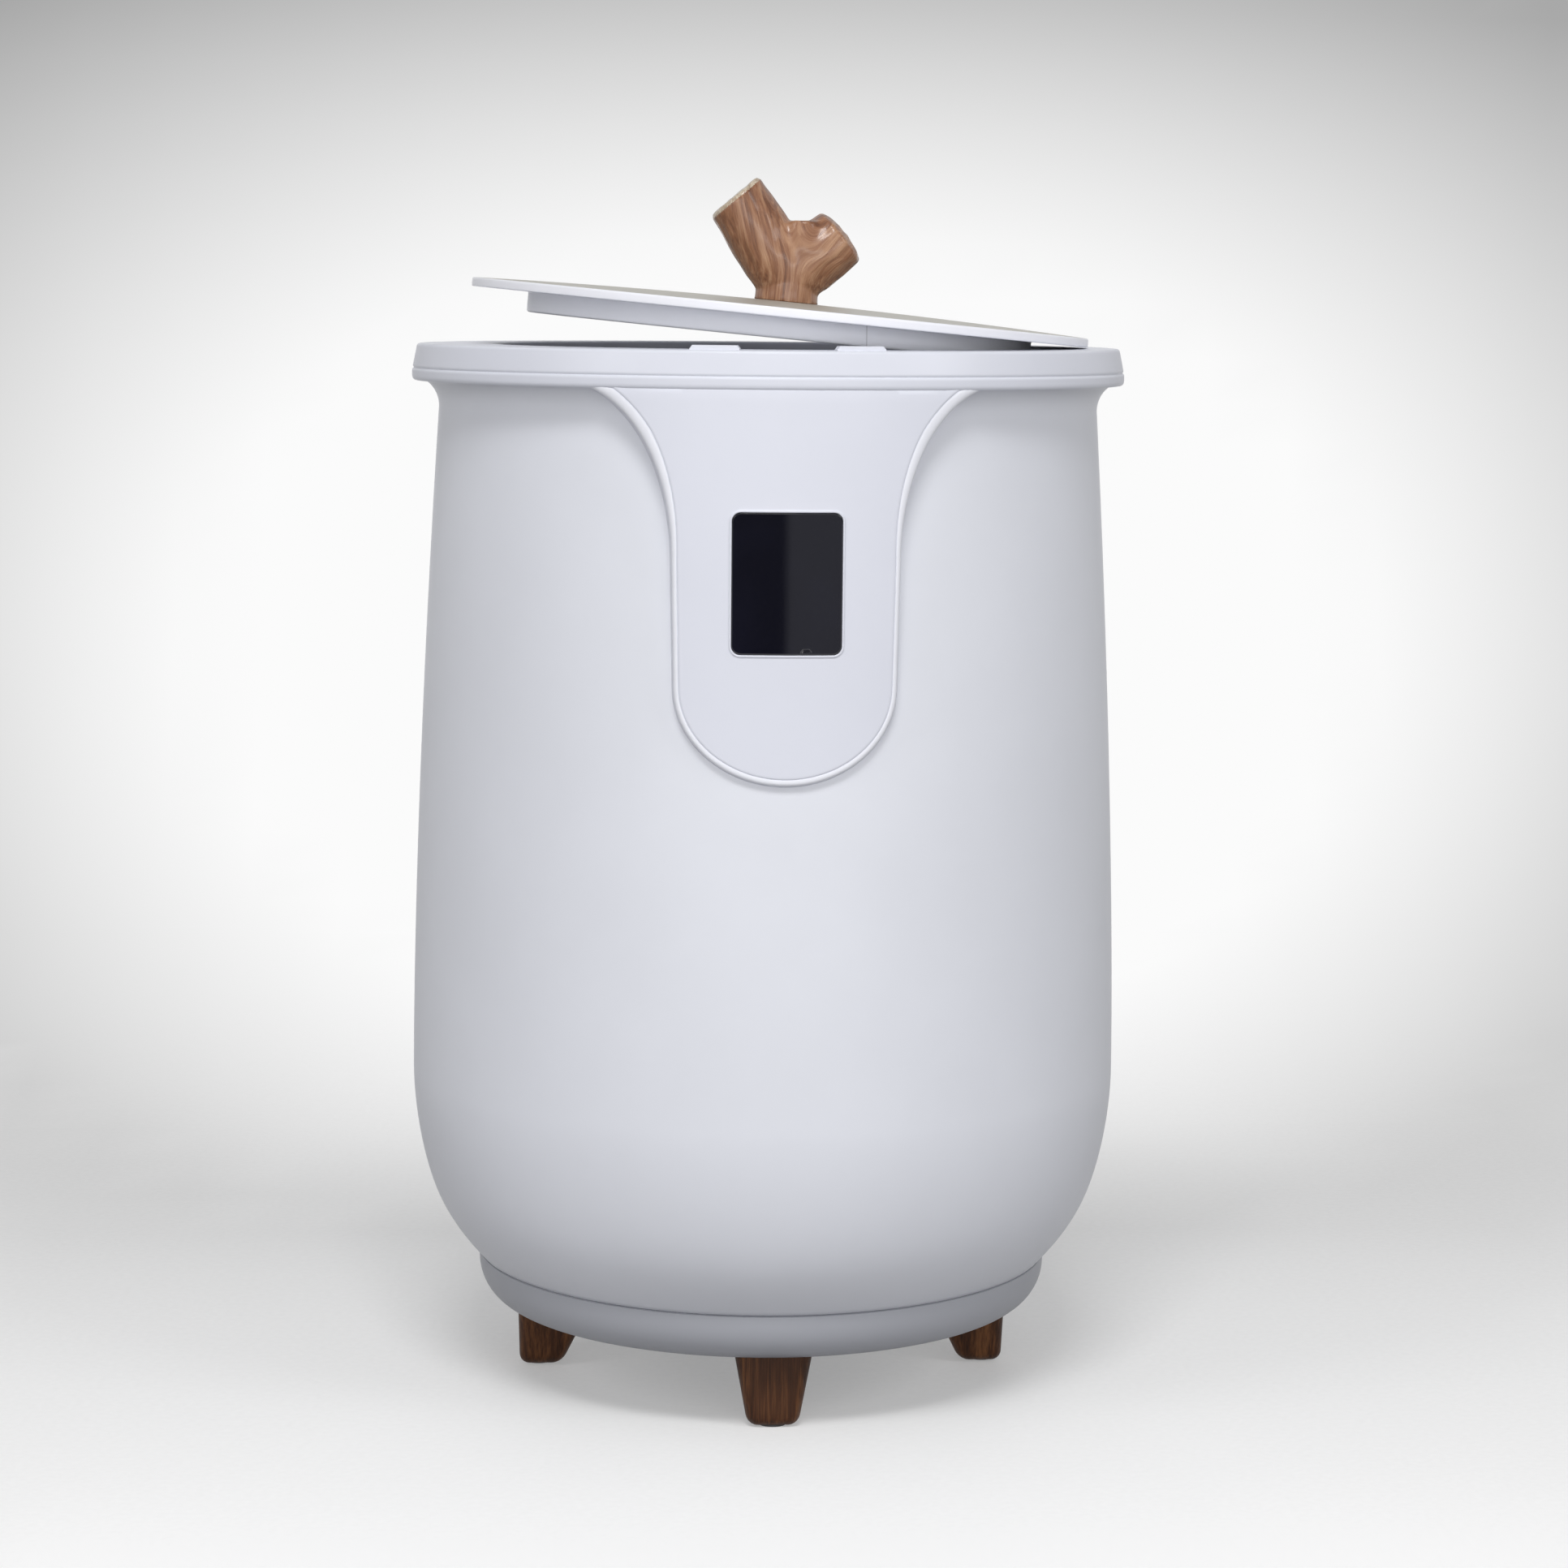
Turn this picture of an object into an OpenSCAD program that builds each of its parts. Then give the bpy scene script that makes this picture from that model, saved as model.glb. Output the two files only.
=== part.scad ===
// Bucket towel warmer with a loose lid, a hanging control panel and four tapered feet.
// Millimetres, +Z up, floor at z = 0, bucket axis on Z, control panel at -Y.

/* [Bucket] */
// Height of the base underside above the floor
foot_h = 33.4; // [26:0.1:45]
// Height of the base cover, up to the seam with the shell
base_h = 22.2; // [18:0.1:28]
// Height of the shell, from the seam to the underside of the rim
shell_h = 400.4; // [340:0.1:460]
// Largest outer radius of the shell
body_r = 161; // [154:0.5:170]
// How far the shell leans in from its largest radius up to the rim
neck_draw = 12.4; // [8:0.2:15]
// How far the seam between shell and base lies inside the largest radius
seam_draw = 30.2; // [27:0.2:37]
// Height of the belly above the seam
belly_h = 86; // [80:0.5:120]
// How fast the upper wall leans in
taper_power = 1.6; // [1.2:0.05:2.2]
// Width of the rounded lower shoulder
shoulder_w = 23; // [20:0.5:30]
// Squareness of the rounded lower shoulder
shoulder_power = 1.75; // [1.5:0.05:2.2]
// Height of the flare between shoulder and seam
flare_h = 16; // [12:0.5:20]
// Wall of the moulded shell and base
shell_wall = 2.2; // [1.6:0.1:3]

/* [Rim] */
// How far the rim's lower edge stands out past the shell's largest radius
rim_over = -0.4; // [-1:0.2:8]
// Draft of the rim band over its height
rim_draft = 2.4; // [0.5:0.1:3]
// Height of the rim above the underside of the shell flange
rim_h = 15; // [12:0.1:20]
// Thickness of the rim's top and band
rim_wall = 2.5; // [2:0.1:3.5]
// Thickness of the shell's flange under the rim
flange_t = 2.5; // [1.5:0.1:3.5]
// Height of the cove that carries the flange
cove_h = 13; // [8:0.1:18]
// Width of the two low tabs on the rim
tab_w = 21; // [10:1:30]
// Distance of each tab from the middle of the panel
tab_x = 31; // [20:1:45]
// Height of the tabs
tab_h = 2; // [1:0.5:4]

/* [Control panel] */
// Half the width of the panel above its round end
panel_half_w = 47.3; // [44:0.1:60]
// Length of the panel, from the rim's top to its lowest point
panel_h = 181.3; // [170:0.1:210]
// Height of the round lower end
panel_round_h = 41; // [30:1:55]
// Width of each flare where the panel joins the rim
panel_flare_w = 44.7; // [30:0.1:55]
// Height of each flare
panel_flare_h = 72; // [50:1:85]
// Wall of the panel
panel_wall = 2.5; // [2:0.1:3]
// Width of the display glass
glass_w = 46; // [36:0.1:56]
// Height of the display glass
glass_h = 59; // [50:0.1:76]
// Thickness of the display glass
glass_t = 1.8; // [1:0.1:2]
// Corner radius of the display glass
glass_corner = 3.7; // [2:0.1:8]
// Height of the middle of the glass above the panel's lowest point
glass_rise = 85.2; // [80:0.1:95]

/* [Liner and heater] */
// Room from the shell's neck in to the inner face of the metal liner
liner_room = 28.1; // [26.6:0.1:34]
// Wall of the metal liner
liner_wall = 1.5; // [0.8:0.1:2.5]
// Height of the liner's floor above the seam
liner_lift = 18.5; // [17:0.5:30]
// Radius of the round corner at the liner's floor
liner_corner = 12; // [6:0.5:20]
// Thickness of the heater film
film_t = 0.8; // [0.4:0.1:1.5]
// Distance of the heater film's top below the shell's flange
film_margin = 54.4; // [40:0.1:200]
// Thickness of the insulation sleeve
sleeve_t = 8; // [3:0.5:9]
// Thickness of the insulation under the floor
pad_t = 6; // [3:0.5:8]

/* [Lid] */
// How far the lid plate laps over the rim's mouth
lid_lap = 15.5; // [9:0.5:21]
// Thickness of the lid at its edge
lid_edge_t = 4; // [3.5:0.1:8]
// Rise of the crown in the middle of the lid
lid_crown = 3; // [2:0.5:10]
// Wall of the lid mouldings
lid_wall = 2.2; // [1.6:0.1:3]
// Gap between the rim's mouth and the skirt below the lid
skirt_gap = 10; // [7:0.5:13]
// Depth of the skirt below the lid
skirt_h = 9; // [8.5:0.5:16]
// How far the lid sits off the bucket's axis, to the right
lid_shift = 4.5; // [0:0.5:5]
// Angle at which the lid stands tipped on its right edge
lid_tilt = 5.2; // [2:0.2:12]
// Thickness of the lid's insulation
lid_foam_t = 6; // [3:0.5:7]

/* [Branch handle] */
// Diameter of the handle's neck
neck_d = 28; // [24:1:34]
// Height at which the two branches part
fork_h = 12.4; // [10:0.2:22]
// Length of the left branch from the fork
left_len = 43.4; // [34:0.2:48]
// Diameter of the left branch at its cut end
left_d = 26.6; // [20:0.2:30]
// Length of the right branch from the fork
right_len = 29.6; // [22:0.2:36]
// Diameter of the right branch at its round end
right_d = 27.6; // [20:0.2:30]
// Lean of the left branch from upright
left_lean = 38.5; // [30:0.5:50]
// Lean of the right branch from upright
right_lean = 46; // [35:0.5:55]
// Height of the notch between the branches
notch_h = 39.5; // [34:0.5:46]
// How far the wood stands to the right of its screw
neck_shift = 2; // [0:0.5:4]

/* [Feet] */
// How far the foot's outer face stands inside the seam
foot_in = 17.8; // [16.8:0.1:24]
// Width of the foot at the top
foot_top_w = 34.5; // [30:0.5:42]
// Depth of the foot at the top
foot_top_d = 34; // [28:1:38]
// Width of the foot at the bottom
foot_low_w = 22.5; // [20:0.1:30]
// Depth of the foot at the bottom
foot_low_d = 17.5; // [16:0.5:24]
// How far the outer face leans in over the foot's height
foot_lean = 0.8; // [0:0.1:6]
// Radius of the foot's upright edges
foot_round = 5; // [2:0.5:7]
// Thickness of the rubber pad
foot_pad_t = 2; // [1:0.1:3]
// How far the rubber pad stands out of the foot
foot_pad_proud = 0.8; // [0.4:0.1:1]

/* [Base electronics] */
// Length of the power board
board_l = 92; // [80:1:110]
// Width of the power board
board_w = 70; // [60:1:80]
// Distance of the power board's middle behind the axis
board_y = 38; // [30:1:44]
// Height of the pillars under the power board
pillar_h = 6; // [4:0.5:7]
// Thickness of the circuit boards
pcb_t = 1.6; // [1:0.2:2]
// Radius of the leads in the base
lead_r = 1.4; // [1:0.1:2]

/* [Cord gland] */
// Height of the cord gland above the floor
gland_z = 100; // [94:1:112]
// Radius of the hole through the gland
gland_bore_r = 3.6; // [2.5:0.1:4.5]
// Radius of the gland's barrel
gland_r = 6.5; // [5.5:0.1:8]
// Radius of the gland's flange
gland_flange_r = 9; // [8.2:0.1:11]
// Length of the gland's barrel inside the shell
gland_in = 12; // [10:0.5:16]

/* [Fasteners] */
// Shank radius of the small screws
screw_r = 1.4; // [1:0.1:1.8]
// Head radius of the small screws
screw_head_r = 2.7; // [2:0.1:3.2]
// Head height of the small screws
screw_head_h = 1.8; // [1:0.1:2.4]
// Shank radius of the base and rim screws
bolt_r = 1.9; // [1.5:0.1:2.2]
// Head radius of the base and rim screws
bolt_head_r = 3.7; // [3:0.1:4.2]
// Head height of the base and rim screws
bolt_head_h = 2.4; // [1.5:0.1:3]
// Shank radius of the handle's screw
handle_bolt_r = 3; // [2.5:0.1:4]
// Length of the handle's screw in the handle
handle_bolt_l = 16; // [10:1:20]

/* [Hidden] */
$fn = 96;

// Clearances
fit_gap = 0.2;      // between pieces that fit side by side
hole_gap = 0.3;     // around a screw that passes through
rest_gap = 0.3;     // under the loose lid
eps = 0.01;
lead_joint = 0.2;   // a lead is this much fuller where it bends
lead_sides = 24;
screw_gap = 0.05;   // between a screw and the hole it bites into

// Levels
seam_z = foot_h + base_h;
flange_z = seam_z + shell_h;
flange_top = flange_z + flange_t;
rim_z = flange_z + rim_h;
belly_z = seam_z + belly_h;
flare_z = seam_z + flare_h;
cove_z = flange_z - cove_h;
liner_z = seam_z + liner_lift;

// Radii that follow the shell's largest one
neck_r = body_r - neck_draw;
seam_r = body_r - seam_draw;
rim_r = body_r + rim_over;
liner_r = neck_r - liner_room;
foot_out_r = seam_r - foot_in;

// Shell outline
shoulder_lift = flare_h - 2.4;           // the shoulder's curve would end this far above the seam
shoulder_drop = belly_h - shoulder_lift;
flare_stand = 0.48 * flare_h;            // the flare's curve bends at this height above the seam
flare_out = 8;                           // and this far outside it
cove_r = rim_r - 0.6;                    // middle of the cove's curve
flange_r = rim_r - rim_wall - fit_gap;   // outer edge of the flange
wall_steps = 14;
shoulder_steps = 12;
curve_steps = 8;

function wall_r(z) =
    body_r - (body_r - neck_r) * pow((z - belly_z) / (cove_z - belly_z), taper_power);
function shoulder_r(z) =
    body_r - shoulder_w
    + shoulder_w * pow(1 - pow((belly_z - z) / shoulder_drop, shoulder_power), 1 / shoulder_power);
function flare_point(t) = let (
    start = [seam_r, seam_z],
    bend = [seam_r + flare_out, seam_z + flare_stand],
    end = [shoulder_r(flare_z), flare_z])
    start * pow(1 - t, 2) + bend * 2 * t * (1 - t) + end * pow(t, 2);
function cove_point(a) = [
    cove_r - (cove_r - neck_r) * cos(a),
    cove_z + cove_h * sin(a)];
cove_end = acos((cove_r - flange_r) / (cove_r - neck_r));

// Outline of the shell from the seam up to the cove, moved in by a wall
function side_points(inset) = concat(
    [for (i = [0 : curve_steps]) flare_point(i / curve_steps) - [inset, 0]],
    [for (i = [1 : shoulder_steps])
        let (z = flare_z + (belly_z - flare_z) * sin(90 * i / shoulder_steps))
        [shoulder_r(z) - inset, z]],
    [for (i = [1 : wall_steps])
        let (z = belly_z + (cove_z - belly_z) * i / wall_steps)
        [wall_r(z) - inset, z]]);
function cove_points() =
    [for (i = [1 : curve_steps]) cove_point(cove_end * i / curve_steps)];

// Outer radius of the shell at a height
function shell_r(z) = z > belly_z ? wall_r(z) : shoulder_r(z);

function reversed(list) = [for (i = [len(list) - 1 : -1 : 0]) list[i]];

// Liner
liner_out_r = liner_r + liner_wall;
film_r = liner_out_r + film_t;
flange_in_r = liner_out_r + 7;
liner_flange_r = flange_in_r + 4.5;
neck_in_r = neck_r - shell_wall;

// Rim
mouth_step = 3.5;                        // the rim's mouth is this much wider than the liner
mouth_r = liner_r + mouth_step;
rim_top_r = rim_r - rim_draft;
rim_round = 1.6;
rim_edge = 2.4;                          // rounding of the rim's lower edge
tab_r = rim_top_r - rim_round - 0.4;     // outer face of the tabs
tab_t = 6;
rim_screw_circle = (liner_flange_r + neck_in_r) / 2;
rim_screw_count = 6;
boss_r = 4.5;

// Panel
panel_r = rim_r - 0.5;                   // outer face of the panel
panel_in_r = panel_r - panel_wall;
panel_low_z = rim_z - panel_h;
panel_round_z = panel_low_z + panel_round_h;
panel_flare_z = flange_z - panel_flare_h;
panel_flare_x = panel_half_w + 1 + panel_flare_w;
panel_side = 2.2;                        // side walls of the panel
glass_z = panel_low_z + glass_rise;
glass_r = panel_r - 0.1;
glass_ledge = 3;
lip_w = 1.1;

// Control board, behind the glass
cb_w = glass_w + 8;
cb_h = glass_h + 24;
cb_front_y = -(panel_in_r - 6.7);
cb_screw_x = cb_w / 2 - 4;
cb_screw_z = cb_h / 2 - 4;
window_gap = 4;                          // the shell's window is this much larger all round
low_post_x = 18;                         // the lower pair of panel posts
low_post_drop = 14;
high_post_in = 7;                        // the upper pair, in from the panel's sides
high_post_rise = 26;
panel_screw_places = [
    for (side = [-1, 1]) [side * low_post_x, panel_round_z - low_post_drop],
    for (side = [-1, 1]) [side * (panel_half_w - high_post_in), panel_flare_z + high_post_rise]];
panel_bite = 1;                          // how far the panel's screws reach into its wall
panel_post_in = neck_in_r - 25;          // the posts are drawn to here and cut back to the shell
board_post_r = 3;
board_post_deep = 6;                     // depth of the screw holes in the board's posts
reach = rim_r + 5;                       // outside every face of the panel
window_deep = 30;

// Base
floor_t = 2.5;
floor_top = foot_h + floor_t;
floor_r = foot_out_r + 2;                // the flat underside ends here
floor_in_r = floor_r - 2;
base_screw_circle = seam_r - 24.8;
shell_ring_in = base_screw_circle - 8;   // inner edge of the ring at the foot of the shell
base_boss_r = 5;
base_seat = 4;                           // depth of the screw seats in the base
base_grip = 11;                          // how far a base screw bites into the shell
shell_cut = 30;                          // cuts through the shell's wall start and end this far from it

// Feet
foot_screw_x = 8;
foot_screw_r = foot_out_r - foot_top_d / 2;
foot_screw_bite = 13;                    // how far a foot's screw goes into the wood

// Power board
board_z = floor_top + pillar_h;
board_top = board_z + pcb_t;
pillar_x = board_l / 2 - 5;
pillar_y = board_w / 2 - 5;
pillar_r = 3.6;

// Lid, drawn about its own middle with its underside at z = 0
lid_r = mouth_r + lid_lap;
skirt_r = mouth_r - skirt_gap;
lid_floor_t = 1.8;
lid_screw_count = 6;
lid_boss_r = 4;
lid_screw_circle = skirt_r - lid_wall - lid_boss_r - 3;
lid_seat_h = 5;                          // height of the screw seats on the lid's floor
lid_pivot_x = lid_shift + lid_r;
lid_pivot_z = rim_z + rest_gap;
crown_steps = 12;
handle_seat_z = lid_edge_t + lid_crown;
washer_t = 1.4;
washer_r = 9;
handle_head_r = handle_bolt_r + 2.4;
handle_head_h = 3;
lid_hub_h = 3;                           // the hub's lower end, where the washer sits
lid_hub_r = 11;

white = "#e4e6ee";
wood_dark = "#5a3a26";
wood_light = "#9a6a48";

module at_circle(count, radius, start = 0) {
    for (i = [0 : count - 1]) rotate(start + 360 * i / count) translate([radius, 0, 0]) children();
}

// Screw with its head's underside at z = 0 and its shank going down
module screw(shank_r, shank_l, head_r, head_h) {
    difference() {
        cylinder(r = head_r, h = head_h);
        for (turn = [0, 90]) rotate(turn)
            translate([-head_r * 0.55, -0.35, head_h * 0.5]) cube([head_r * 1.1, 0.7, head_h]);
    }
    translate([0, 0, -shank_l]) cylinder(r = shank_r, h = shank_l + eps);
}

// Box centred in x and y that stands on z = 0
module block(size) {
    translate([-size[0] / 2, -size[1] / 2, 0]) cube(size);
}

// Straight piece of lead from one point to the next
module lead_piece(from, to, r) {
    run = to - from;
    flat = norm([run[0], run[1]]);
    translate(from) rotate([0, atan2(flat, run[2]), atan2(run[1], run[0])])
        cylinder(r = r, h = norm(run), $fn = lead_sides);
}

module lead(points, r) {
    for (i = [0 : len(points) - 2]) lead_piece(points[i], points[i + 1], r);
    for (i = [1 : len(points) - 2]) translate(points[i]) sphere(r = r + lead_joint, $fn = lead_sides);
}

// Bucket shell
module shell_solid(gap = 0) {
    rotate_extrude() polygon(concat(
        [[0, seam_z]],
        side_points(-gap),
        [for (p = cove_points()) p + [gap, -gap]],
        [[flange_r + gap, flange_top], [0, flange_top]]));
}

module outer_shell() {
    color(white) difference() {
        union() {
            rotate_extrude() polygon(concat(
                side_points(0), cove_points(),
                [[flange_r, flange_top], [flange_in_r, flange_top]],
                [[flange_in_r, flange_z], [neck_in_r, flange_z]],
                reversed([for (p = side_points(shell_wall)) if (p[1] > seam_z + floor_t) p]),
                [[seam_r - shell_wall, seam_z + floor_t]],
                [[shell_ring_in, seam_z + floor_t], [shell_ring_in, seam_z]]));
            at_circle(4, base_screw_circle, 45)
                translate([0, 0, seam_z]) cylinder(r = boss_r, h = base_grip + 2);
        }
        at_circle(rim_screw_count, rim_screw_circle, 30)
            translate([0, 0, flange_z - 1]) cylinder(r = bolt_r + hole_gap, h = flange_t + 2);
        at_circle(4, base_screw_circle, 45)
            translate([0, 0, seam_z - 1]) cylinder(r = bolt_r, h = base_grip + 1.5);
        translate([0, -body_r, glass_z - cb_h / 2 - window_gap])
            block([cb_w + 2 * window_gap, 2 * shell_cut, cb_h + 2 * window_gap]);
        for (p = panel_screw_places)
            translate([p[0], shell_cut - body_r, p[1]]) rotate([90, 0, 0])
                cylinder(r = screw_r + hole_gap, h = 2 * shell_cut);
        translate([0, body_r - shell_cut, gland_z]) rotate([-90, 0, 0])
            cylinder(r = gland_r + fit_gap, h = 2 * shell_cut);
    }
}

// Base cover
function base_arc(width, height, inner_r, top_z) =
    [for (i = [0 : curve_steps]) let (a = 90 * i / curve_steps)
        [inner_r + width * cos(a), top_z - height * sin(a)]];
base_arc_z = seam_z - 4;

module base_cover() {
    color(white) difference() {
        union() {
            rotate_extrude() polygon(concat(
                [[seam_r, seam_z]],
                base_arc(seam_r - floor_r, base_arc_z - foot_h, floor_r, base_arc_z),
                [[0, foot_h], [0, floor_top]],
                reversed(base_arc(
                    seam_r - shell_wall - floor_in_r, base_arc_z - floor_top, floor_in_r, base_arc_z)),
                [[seam_r - shell_wall, seam_z]]));
            at_circle(4, base_screw_circle, 45)
                translate([0, 0, foot_h]) cylinder(r = base_boss_r, h = base_h);
            for (x = [-1, 1], y = [-1, 1])
                translate([x * pillar_x, board_y + y * pillar_y, foot_h + 1])
                    cylinder(r = pillar_r, h = board_z - foot_h - 1);
        }
        at_circle(4, base_screw_circle, 45) {
            translate([0, 0, foot_h - 1]) cylinder(r = bolt_r + hole_gap, h = base_h + 2);
            translate([0, 0, foot_h - 1]) cylinder(r = bolt_head_r + hole_gap, h = base_seat + 1);
        }
        for (x = [-1, 1], y = [-1, 1])
            translate([x * pillar_x, board_y + y * pillar_y, floor_top])
                cylinder(r = screw_r, h = pillar_h + 1);
        for (turn = [0, 90, 180, 270]) rotate(turn) for (x = [-1, 1])
            translate([x * foot_screw_x, -foot_screw_r, foot_h - 1])
                cylinder(r = bolt_r + hole_gap, h = floor_t + 2);
    }
}

module base_screws() {
    color("silver") at_circle(4, base_screw_circle, 45)
        translate([0, 0, foot_h + base_seat]) mirror([0, 0, 1])
            screw(bolt_r - screw_gap, base_h - base_seat + base_grip - 1, bolt_head_r, bolt_head_h);
}

// Feet
module foot_slice(width, depth, lean, z, inset) {
    round_r = foot_round - inset;
    translate([0, lean - foot_out_r + depth / 2, z])
        for (x = [-1, 1], y = [-1, 1])
            translate([x * (width / 2 - foot_round), y * (depth / 2 - foot_round), 0])
                cylinder(r = round_r, h = 0.2, $fn = 32);
}

module foot() {
    edge = 2;
    difference() {
        hull() {
            foot_slice(foot_top_w, foot_top_d, 0, foot_h - 0.2, 0);
            foot_slice(foot_low_w + 0.6, foot_low_d + 0.6, foot_lean - 0.2, foot_pad_proud + edge, 0);
            foot_slice(foot_low_w, foot_low_d, foot_lean, foot_pad_proud, edge * 0.6);
        }
        for (x = [-1, 1])
            translate([x * foot_screw_x, -foot_screw_r, foot_h - foot_screw_bite - 2])
                cylinder(r = bolt_r, h = foot_screw_bite + 3);
        translate([0, foot_pad_y(), -1]) cylinder(r = foot_pad_r() + fit_gap, h = foot_pad_t + 1);
    }
}
function foot_pad_r() = min(foot_low_w, foot_low_d) / 2 - 2.5;
function foot_pad_y() = foot_lean - foot_out_r + foot_low_d / 2;

module foot_front() color(wood_dark) foot();
module foot_right() color(wood_dark) rotate(90) foot();
module foot_back() color(wood_dark) rotate(180) foot();
module foot_left() color(wood_dark) rotate(270) foot();

module foot_pads() {
    color("#2a2a2c") for (turn = [0 : 90 : 270]) rotate(turn)
        translate([0, foot_pad_y(), 0]) cylinder(r = foot_pad_r(), h = foot_pad_t);
}

module foot_screws() {
    color("silver") for (turn = [0 : 90 : 270]) rotate(turn) for (x = [-1, 1])
        translate([x * foot_screw_x, -foot_screw_r, floor_top])
            screw(bolt_r - screw_gap, floor_t + foot_screw_bite, bolt_head_r, bolt_head_h);
}

// Rim
module rim_collar() {
    lip_z = flange_top + liner_wall;
    under_z = rim_z - rim_wall;
    color(white) difference() {
        union() {
            rotate_extrude() polygon(concat(
                [[mouth_r, lip_z], [mouth_r, rim_z - 1], [mouth_r + 1, rim_z]],
                [for (i = [0 : 4]) let (a = 90 - 85 * i / 4)
                    [rim_top_r - rim_round + rim_round * cos(a), rim_z - rim_round + rim_round * sin(a)]],
                [for (i = [0 : 4]) let (a = -20 * i)
                    [rim_r - rim_edge * (1 - cos(a)), flange_z + rim_edge * (1 + sin(a))]],
                [[rim_r - rim_wall, flange_z], [rim_r - rim_wall, flange_top + 0.4],
                 [rim_top_r - rim_wall + 0.5, under_z],
                 [mouth_r + rim_wall, under_z], [mouth_r + rim_wall, lip_z]]));
            at_circle(rim_screw_count, rim_screw_circle, 30)
                translate([0, 0, flange_top]) cylinder(r = boss_r, h = under_z - flange_top + 0.5);
            for (side = [-1, 1]) rotate(side * asin(tab_x / rim_top_r))
                intersection() {
                    translate([0, -rim_top_r, rim_z - 0.5]) block([tab_w, 20, tab_h + 0.5]);
                    difference() {
                        translate([0, 0, rim_z - 0.5]) cylinder(r = tab_r, h = tab_h + 0.5);
                        translate([0, 0, rim_z - 1]) cylinder(r = tab_r - tab_t, h = tab_h + 2);
                    }
                }
        }
        at_circle(rim_screw_count, rim_screw_circle, 30)
            translate([0, 0, flange_top - 1]) cylinder(r = bolt_r, h = under_z - flange_top + 0.5);
    }
}

module rim_screws() {
    color("silver") at_circle(rim_screw_count, rim_screw_circle, 30)
        translate([0, 0, flange_z]) mirror([0, 0, 1])
            screw(bolt_r - screw_gap, rim_h - rim_wall - 1.5, bolt_head_r, bolt_head_h);
}

// Control panel
function panel_side_points(inset) = concat(
    [for (i = [0 : 9]) [
        (panel_half_w - inset) * sin(10 * i),
        panel_round_z - (panel_round_h - inset) * cos(10 * i)]],
    [for (i = [0 : 9]) [
        panel_flare_x - (panel_flare_w + inset) * cos(10 * i),
        panel_flare_z + (panel_flare_h + inset) * sin(10 * i)]],
    [[panel_flare_x, flange_z + 5]]);

module panel_outline(inset) {
    right = panel_side_points(inset);
    polygon(concat(right, reversed([for (p = right) if (p[0] > 0) [-p[0], p[1]]])));
}

// Outline drawn in x and z, pushed from the panel's face towards the axis
module panel_prism(inset) {
    deep = 60;
    translate([0, deep - reach, 0]) rotate([90, 0, 0]) linear_extrude(deep) panel_outline(inset);
}

module rounded_window(width, height, corner) {
    translate([0, window_deep - reach, glass_z]) rotate([90, 0, 0]) linear_extrude(window_deep) union() {
        square([width - 2 * corner, height], center = true);
        square([width, height - 2 * corner], center = true);
        for (x = [-1, 1], y = [-1, 1])
            translate([x * (width / 2 - corner), y * (height / 2 - corner)]) circle(r = corner, $fn = 48);
    }
}

module drum(r, low_z = panel_low_z - 5, high_z = flange_z - fit_gap) {
    translate([0, 0, low_z]) cylinder(r = r, h = high_z - low_z, $fn = 180);
}

// Depth of a round face of radius r at x, as a place on -Y
function face_y(r, x) = -sqrt(pow(r, 2) - pow(x, 2));

// Post on the back of the panel that reaches in to back_y
module panel_post(x, z, r, back_y) {
    translate([x, back_y, z]) rotate([90, 0, 0]) cylinder(r = r, h = back_y - face_y(panel_in_r, x) + 1);
}

module control_panel() {
    color(white) difference() {
        union() {
            intersection() {
                panel_prism(0);
                difference() {
                    drum(panel_r);
                    drum(panel_in_r);
                }
            }
            difference() {
                union() {
                    intersection() {
                        difference() {
                            panel_prism(0);
                            panel_prism(panel_side);
                        }
                        drum(panel_in_r + eps);
                    }
                    for (p = panel_screw_places) panel_post(p[0], p[1], boss_r, -panel_post_in);
                }
                shell_solid(fit_gap);
            }
            intersection() {
                rounded_window(glass_w + 2 * lip_w, glass_h + 2 * lip_w, glass_corner + lip_w);
                difference() {
                    drum(rim_r);
                    drum(panel_r - eps);
                }
            }
            for (x = [-1, 1], z = [-1, 1])
                panel_post(x * cb_screw_x, glass_z + z * cb_screw_z, board_post_r, cb_front_y);
        }
        intersection() {
            rounded_window(glass_w + fit_gap, glass_h + fit_gap, glass_corner);
            difference() {
                drum(rim_r + 1);
                drum(glass_r - glass_t);
            }
        }
        rounded_window(glass_w - 2 * glass_ledge, glass_h - 2 * glass_ledge, 1.5);
        for (x = [-1, 1], z = [-1, 1])
            translate([x * cb_screw_x, cb_front_y + 1, glass_z + z * cb_screw_z])
                rotate([90, 0, 0]) cylinder(r = screw_r, h = board_post_deep);
        for (p = panel_screw_places)
            translate([p[0], 0, p[1]]) rotate([90, 0, 0])
                cylinder(r = screw_r, h = panel_bite - face_y(panel_in_r, p[0]));
    }
}

// Inner side of the shell where a panel screw's head rests
function panel_head_y(p) = face_y(shell_r(p[1]) - shell_wall, abs(p[0]) + screw_head_r);

module panel_screws() {
    color("silver") for (p = panel_screw_places)
        translate([p[0], panel_head_y(p), p[1]]) rotate([-90, 0, 0])
            screw(screw_r - screw_gap, panel_head_y(p) - face_y(panel_in_r, p[0]) + panel_bite - 0.4,
                screw_head_r, screw_head_h);
}

module display_glass() {
    color("#14141c") intersection() {
        rounded_window(glass_w, glass_h, glass_corner);
        difference() {
            drum(glass_r);
            drum(glass_r - glass_t);
        }
    }
}

// Digit block and touch springs stand between the board and the glass
module_w = glass_w - 2 * glass_ledge - 1;
module_top = glass_h / 2 - glass_ledge - 1;
module_low = 2;
spring_x = 12;
spring_r = 2.6;
spring_drop = 14;

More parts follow.
